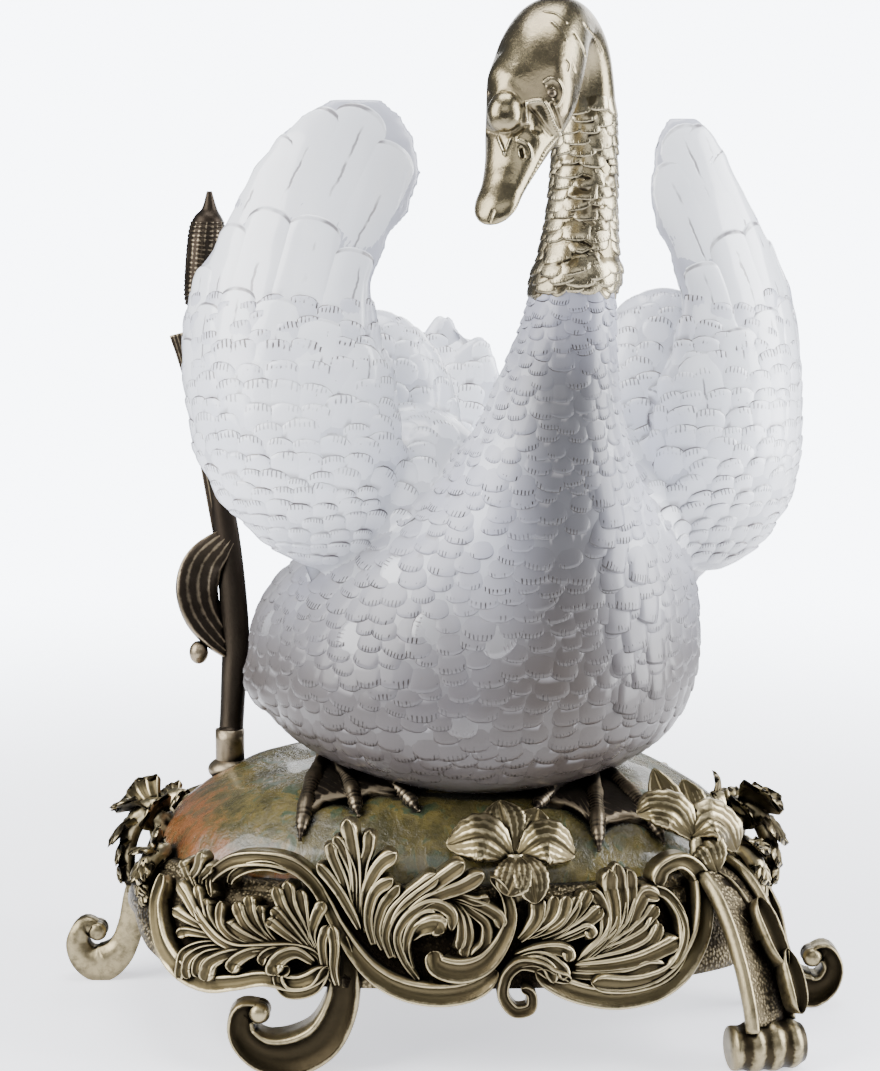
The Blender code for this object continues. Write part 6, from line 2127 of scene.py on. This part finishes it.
# Places on the stalk from the mound's top (x, y, z), half width, half thickness
REED_STALK = (
    (-0.103, 0.033, 0.000, 0.0068, 0.0064),
    (-0.1025, 0.035, 0.004, 0.0058, 0.0052),
    (-0.1015, 0.038, 0.024, 0.0060, 0.0050),
    (-0.1005, 0.041, 0.047, 0.0068, 0.0050),
    (-0.1035, 0.044, 0.088, 0.0062, 0.0048),
    (-0.1085, 0.047, 0.124, 0.0048, 0.0042),
    (-0.114, 0.049, 0.160, 0.0036, 0.0034),
    (-0.1165, 0.050, 0.186, 0.0030, 0.0030),
    (-0.1165, 0.050, 0.197, 0.0034, 0.0034),
    (-0.1155, 0.050, 0.202, 0.0072, 0.0072),
    (-0.1145, 0.050, 0.212, 0.0086, 0.0086),
    (-0.1125, 0.050, 0.234, 0.0086, 0.0086),
    (-0.1115, 0.050, 0.242, 0.0070, 0.0070),
    (-0.111, 0.050, 0.247, 0.0036, 0.0036),
    (-0.111, 0.050, 0.255, 0.0012, 0.0012),
)
REED_BLADE = (
    (-0.1035, 0.044, 0.080, 0.0045, 0.0028),
    (-0.111, 0.047, 0.124, 0.0048, 0.0026),
    (-0.118, 0.049, 0.160, 0.0040, 0.0024),
    (-0.1235, 0.050, 0.178, 0.0034, 0.0022),
    (-0.1265, 0.050, 0.189, 0.0040, 0.0022),
)
# The strap leaf curls off the stalk, hangs down on the outer side and comes back to it
REED_STRAP = (
    (-0.1035, 0.042, 0.094, 0.0045, 0.0022),
    (-0.109, 0.041, 0.089, 0.0075, 0.0024),
    (-0.1155, 0.040, 0.081, 0.0095, 0.0026),
    (-0.118, 0.039, 0.070, 0.0100, 0.0028),
    (-0.1155, 0.039, 0.058, 0.0092, 0.0028),
    (-0.109, 0.039, 0.048, 0.0075, 0.0026),
    (-0.1025, 0.040, 0.040, 0.0045, 0.0024),
)


def reed_place(x, y, z):
    """A place on the reed, which keeps clear of the wing at any size of the swan. Below 0 it is rooted."""
    x, y = x * SHARE, y * SHARE
    if z < 0:
        return on_mound(x, y, -0.003)
    return Vector((x, y, MOUND_TOP + z * SHARE))

RIBBED = (
    (-1, -0.6), (-0.96, 0.7), (-0.72, 0.35), (-0.50, 0.85), (-0.26, 0.40), (0, 0.95),
    (0.26, 0.40), (0.50, 0.85), (0.72, 0.35), (0.96, 0.7), (1, -0.6), (0, -0.8),
)


def reed_run(rows, count):
    stations = smooth_through(rows, count)
    path = [reed_place(x, y, z) for x, y, z, _, _ in stations]
    return path, [r[3] for r in stations], [r[4] for r in stations]


def make_bulrush(bronze):
    bm = bmesh.new()
    facing = Vector((-0.25, -1.0, 0.1)).normalized()
    path, widths, depths = reed_run(REED_STALK, 320)
    add_strip(bm, path, [facing] * len(path), widths, depths, 48)
    for vert in bm.verts:
        rise = vert.co.z - MOUND_TOP
        if 0.202 < rise < 0.241:
            middle = min(path, key=lambda spot: abs(spot.z - vert.co.z))
            off = vert.co - middle
            angle = math.atan2(off.y, off.x)
            seeds = math.sin(9 * angle + 1500 * rise) * math.sin(9 * angle - 1500 * rise)
            vert.co += off.normalized() * 0.0005 * seeds
    path, widths, depths = reed_run(REED_BLADE, 40)
    add_profile(bm, path, [facing] * 40, widths, depths, RIBBED)
    path, widths, depths = reed_run(REED_STRAP, 70)
    add_profile(bm, path, [Vector((0.15, -0.55, 0.35))] * 70, widths, depths, RIBBED)
    foot = on_mound(REED_FOOT[0] * SHARE, REED_FOOT[1] * SHARE, -0.002)
    top = reed_place(REED_FOOT[0], REED_FOOT[1], 0.004)
    add_strip(bm, [foot.lerp(top, n / 4) for n in range(5)], [facing] * 5, [0.0068] * 5, [0.0064] * 5, 20)
    add_ellipsoid(bm, foot, [Vector((0.0105, 0, 0)), Vector((0, 0.0105, 0)), Vector((0, 0, 0.006))], 28, 15)
    nub = reed_place(-0.1175, 0.037, 0.040)
    add_ellipsoid(bm, nub, [Vector((0.0045, 0, 0)), Vector((0, 0.0045, 0)), Vector((0, 0, 0.0055))], 24, 15)
    reed = new_piece("bulrush_cast", bm)
    reed.data.materials.append(bronze)
    return reed


# Putting it together


def ride(piece, slot, *nodes):
    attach(piece, "root")
    for node in nodes:
        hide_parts(node)


def make_object():
    glaze = make_glaze("white_glaze", (0.70, 0.72, 0.78, 1), (0.58, 0.60, 0.68, 1), 0.6)
    # The body's feathers get a greyer, darker glaze than the wings': painted shade
    shaded_body_glaze = make_glaze(
        "shaded_body_feather_glaze", (0.58, 0.59, 0.66, 1), (0.41, 0.42, 0.50, 1), 0.35, (0.020, 0.015, 0.013, 1), 1.0, 0.85
    )
    wing_glaze = make_glaze(
        "wing_feather_glaze", (0.88, 0.90, 0.96, 1), (0.76, 0.79, 0.88, 1), 0.75, (0.085, 0.070, 0.075, 1), 0.75, 1.0
    )
    quill_glaze = make_quill_glaze()
    mottled = make_mottled()
    antique = make_bronze(
        "antique_bronze", (0.011, 0.0088, 0.0052), (0.072, 0.058, 0.031), (0.42, 0.355, 0.215), 0.47, 0.31
    )
    ground = make_bronze(
        "stippled_bronze", (0.008, 0.006, 0.004), (0.060, 0.048, 0.028), (0.28, 0.23, 0.14), 0.48, 0.42, stipple=2.5
    )
    leg_bronze = make_bronze(
        "leg_bronze", (0.005, 0.004, 0.0025), (0.027, 0.021, 0.012), (0.31, 0.26, 0.155), 0.56, 0.36
    )
    rubbed = make_bronze(
        "rubbed_bronze", (0.024, 0.019, 0.010), (0.26, 0.22, 0.135), (0.66, 0.59, 0.41), 0.48, 0.19
    )
    rubbed_scales = make_bronze(
        "rubbed_scales", (0.010, 0.0075, 0.0045), (0.085, 0.070, 0.041), (0.42, 0.365, 0.245), 0.52, 0.27, True
    )
    dark = make_bronze(
        "dark_bronze", (0.005, 0.004, 0.003), (0.030, 0.024, 0.018), (0.27, 0.22, 0.15), 0.54, 0.36
    )
    body, plumage = make_swan(glaze, shaded_body_glaze, wing_glaze, quill_glaze)
    head, *head_parts = make_head(rubbed, rubbed_scales, dark, body)
    mound = make_mound(mottled)
    feet = [make_foot(name, dark) for name in FEET]
    castings = make_mount(antique, ground, leg_bronze)
    reed = make_bulrush(dark)
    thinned(body)
    thinned(head)
    note_hollows([body, *plumage], [body, *plumage[:2]], 0.010)
    note_hollows([head, *head_parts], [head, *head_parts], 0.006, 0.0002)
    note_hollows([mound, *feet, *castings, reed], [mound, body, *feet, *castings, reed], 0.009)
    ride(body, "white_glaze", "swan")
    for piece in plumage:
        ride(piece, "white_glaze")
    ride(head, "rubbed_bronze", "head_and_neck")
    for piece in head_parts:
        ride(piece, "rubbed_bronze")
    ride(mound, "mottled_glaze", "mound")
    for name, foot in zip(FEET, feet):
        ride(foot, "dark_bronze", name)
    for casting in castings:
        ride(casting, "antique_bronze")
    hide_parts("base_mount")
    ride(reed, "dark_bronze", "bulrush")


def add_camera():
    data = bpy.data.cameras.new("camera")
    data.lens = CAMERA_LENS
    data.sensor_width = 36.0
    camera = bpy.data.objects.new("camera", data)
    bpy.context.scene.collection.objects.link(camera)
    camera.location = CAMERA_PLACE
    camera.rotation_euler = (-CAMERA_BACK).to_track_quat("-Z", "Y").to_euler()
    bpy.context.scene.camera = camera


def add_area_light(name, place, target, size, power, colour=(1, 1, 1)):
    data = bpy.data.lights.new(name, "AREA")
    data.shape = "RECTANGLE"
    data.size, data.size_y = size
    data.energy = power
    data.color = colour
    light = bpy.data.objects.new(name, data)
    bpy.context.scene.collection.objects.link(light)
    light.location = place
    light.rotation_euler = (Vector(target) - Vector(place)).to_track_quat("-Z", "Y").to_euler()


BACKDROP = (0.87, 0.92, 1.0, 1)
BACKDROP_GLOW = 9.0
ROOM_GLOW = 0.16


def add_studio():
    """A pale floor that fades into a pale surrounding, and soft light from both sides."""
    bm = bmesh.new()
    bmesh.ops.create_circle(bm, cap_ends=True, segments=96, radius=3.0)
    floor = new_piece("floor", bm, shift=False)
    material, tree, shader, place = new_finish("pale_floor")
    far = put(tree, "ShaderNodeVectorMath", {0: place}, operation="LENGTH").outputs["Value"]
    shader.inputs["Base Color"].default_value = (0.84, 0.85, 0.89, 1)
    shader.inputs["Roughness"].default_value = 0.7
    shader.inputs["Emission Color"].default_value = (0.90, 0.92, 1.0, 1)
    shader.inputs["Emission Strength"].default_value = 1.15
    tree.links.new(ranged(tree, far, 0.28, 1.25, 1.0, 0.0), shader.inputs["Alpha"])
    floor.data.materials.append(material)
    world = bpy.data.worlds.new("studio")
    bpy.context.scene.world = world
    world.use_nodes = True
    tree = world.node_tree
    background = tree.nodes["Background"]
    background.inputs["Color"].default_value = BACKDROP
    sight_ray = put(tree, "ShaderNodeLightPath").outputs["Is Camera Ray"]
    tree.links.new(
        ranged(tree, sight_ray, 0.0, 1.0, ROOM_GLOW, BACKDROP_GLOW), background.inputs["Strength"]
    )
    middle = (0, 0, 0.2)
    add_area_light("left", (-1.30, -0.60, 0.95), middle, (1.3, 1.6), 66.0, (1.0, 0.99, 0.97))
    add_area_light("right", (1.35, -0.05, 0.60), middle, (1.0, 1.5), 66.0, (0.97, 0.98, 1.0))
    add_area_light("top", (0.0, 0.10, 1.5), middle, (0.9, 0.7), 20.0, (1.0, 1.0, 1.0))
    add_area_light("front", (0.1, -1.5, 1.2), middle, (1.3, 0.7), 6.0, (1.0, 1.0, 1.0))
    add_area_light("back", (0.3, 1.3, 0.7), middle, (1.2, 0.6), 10.0, (0.97, 0.98, 1.0))


make_object()
add_camera()
add_studio()
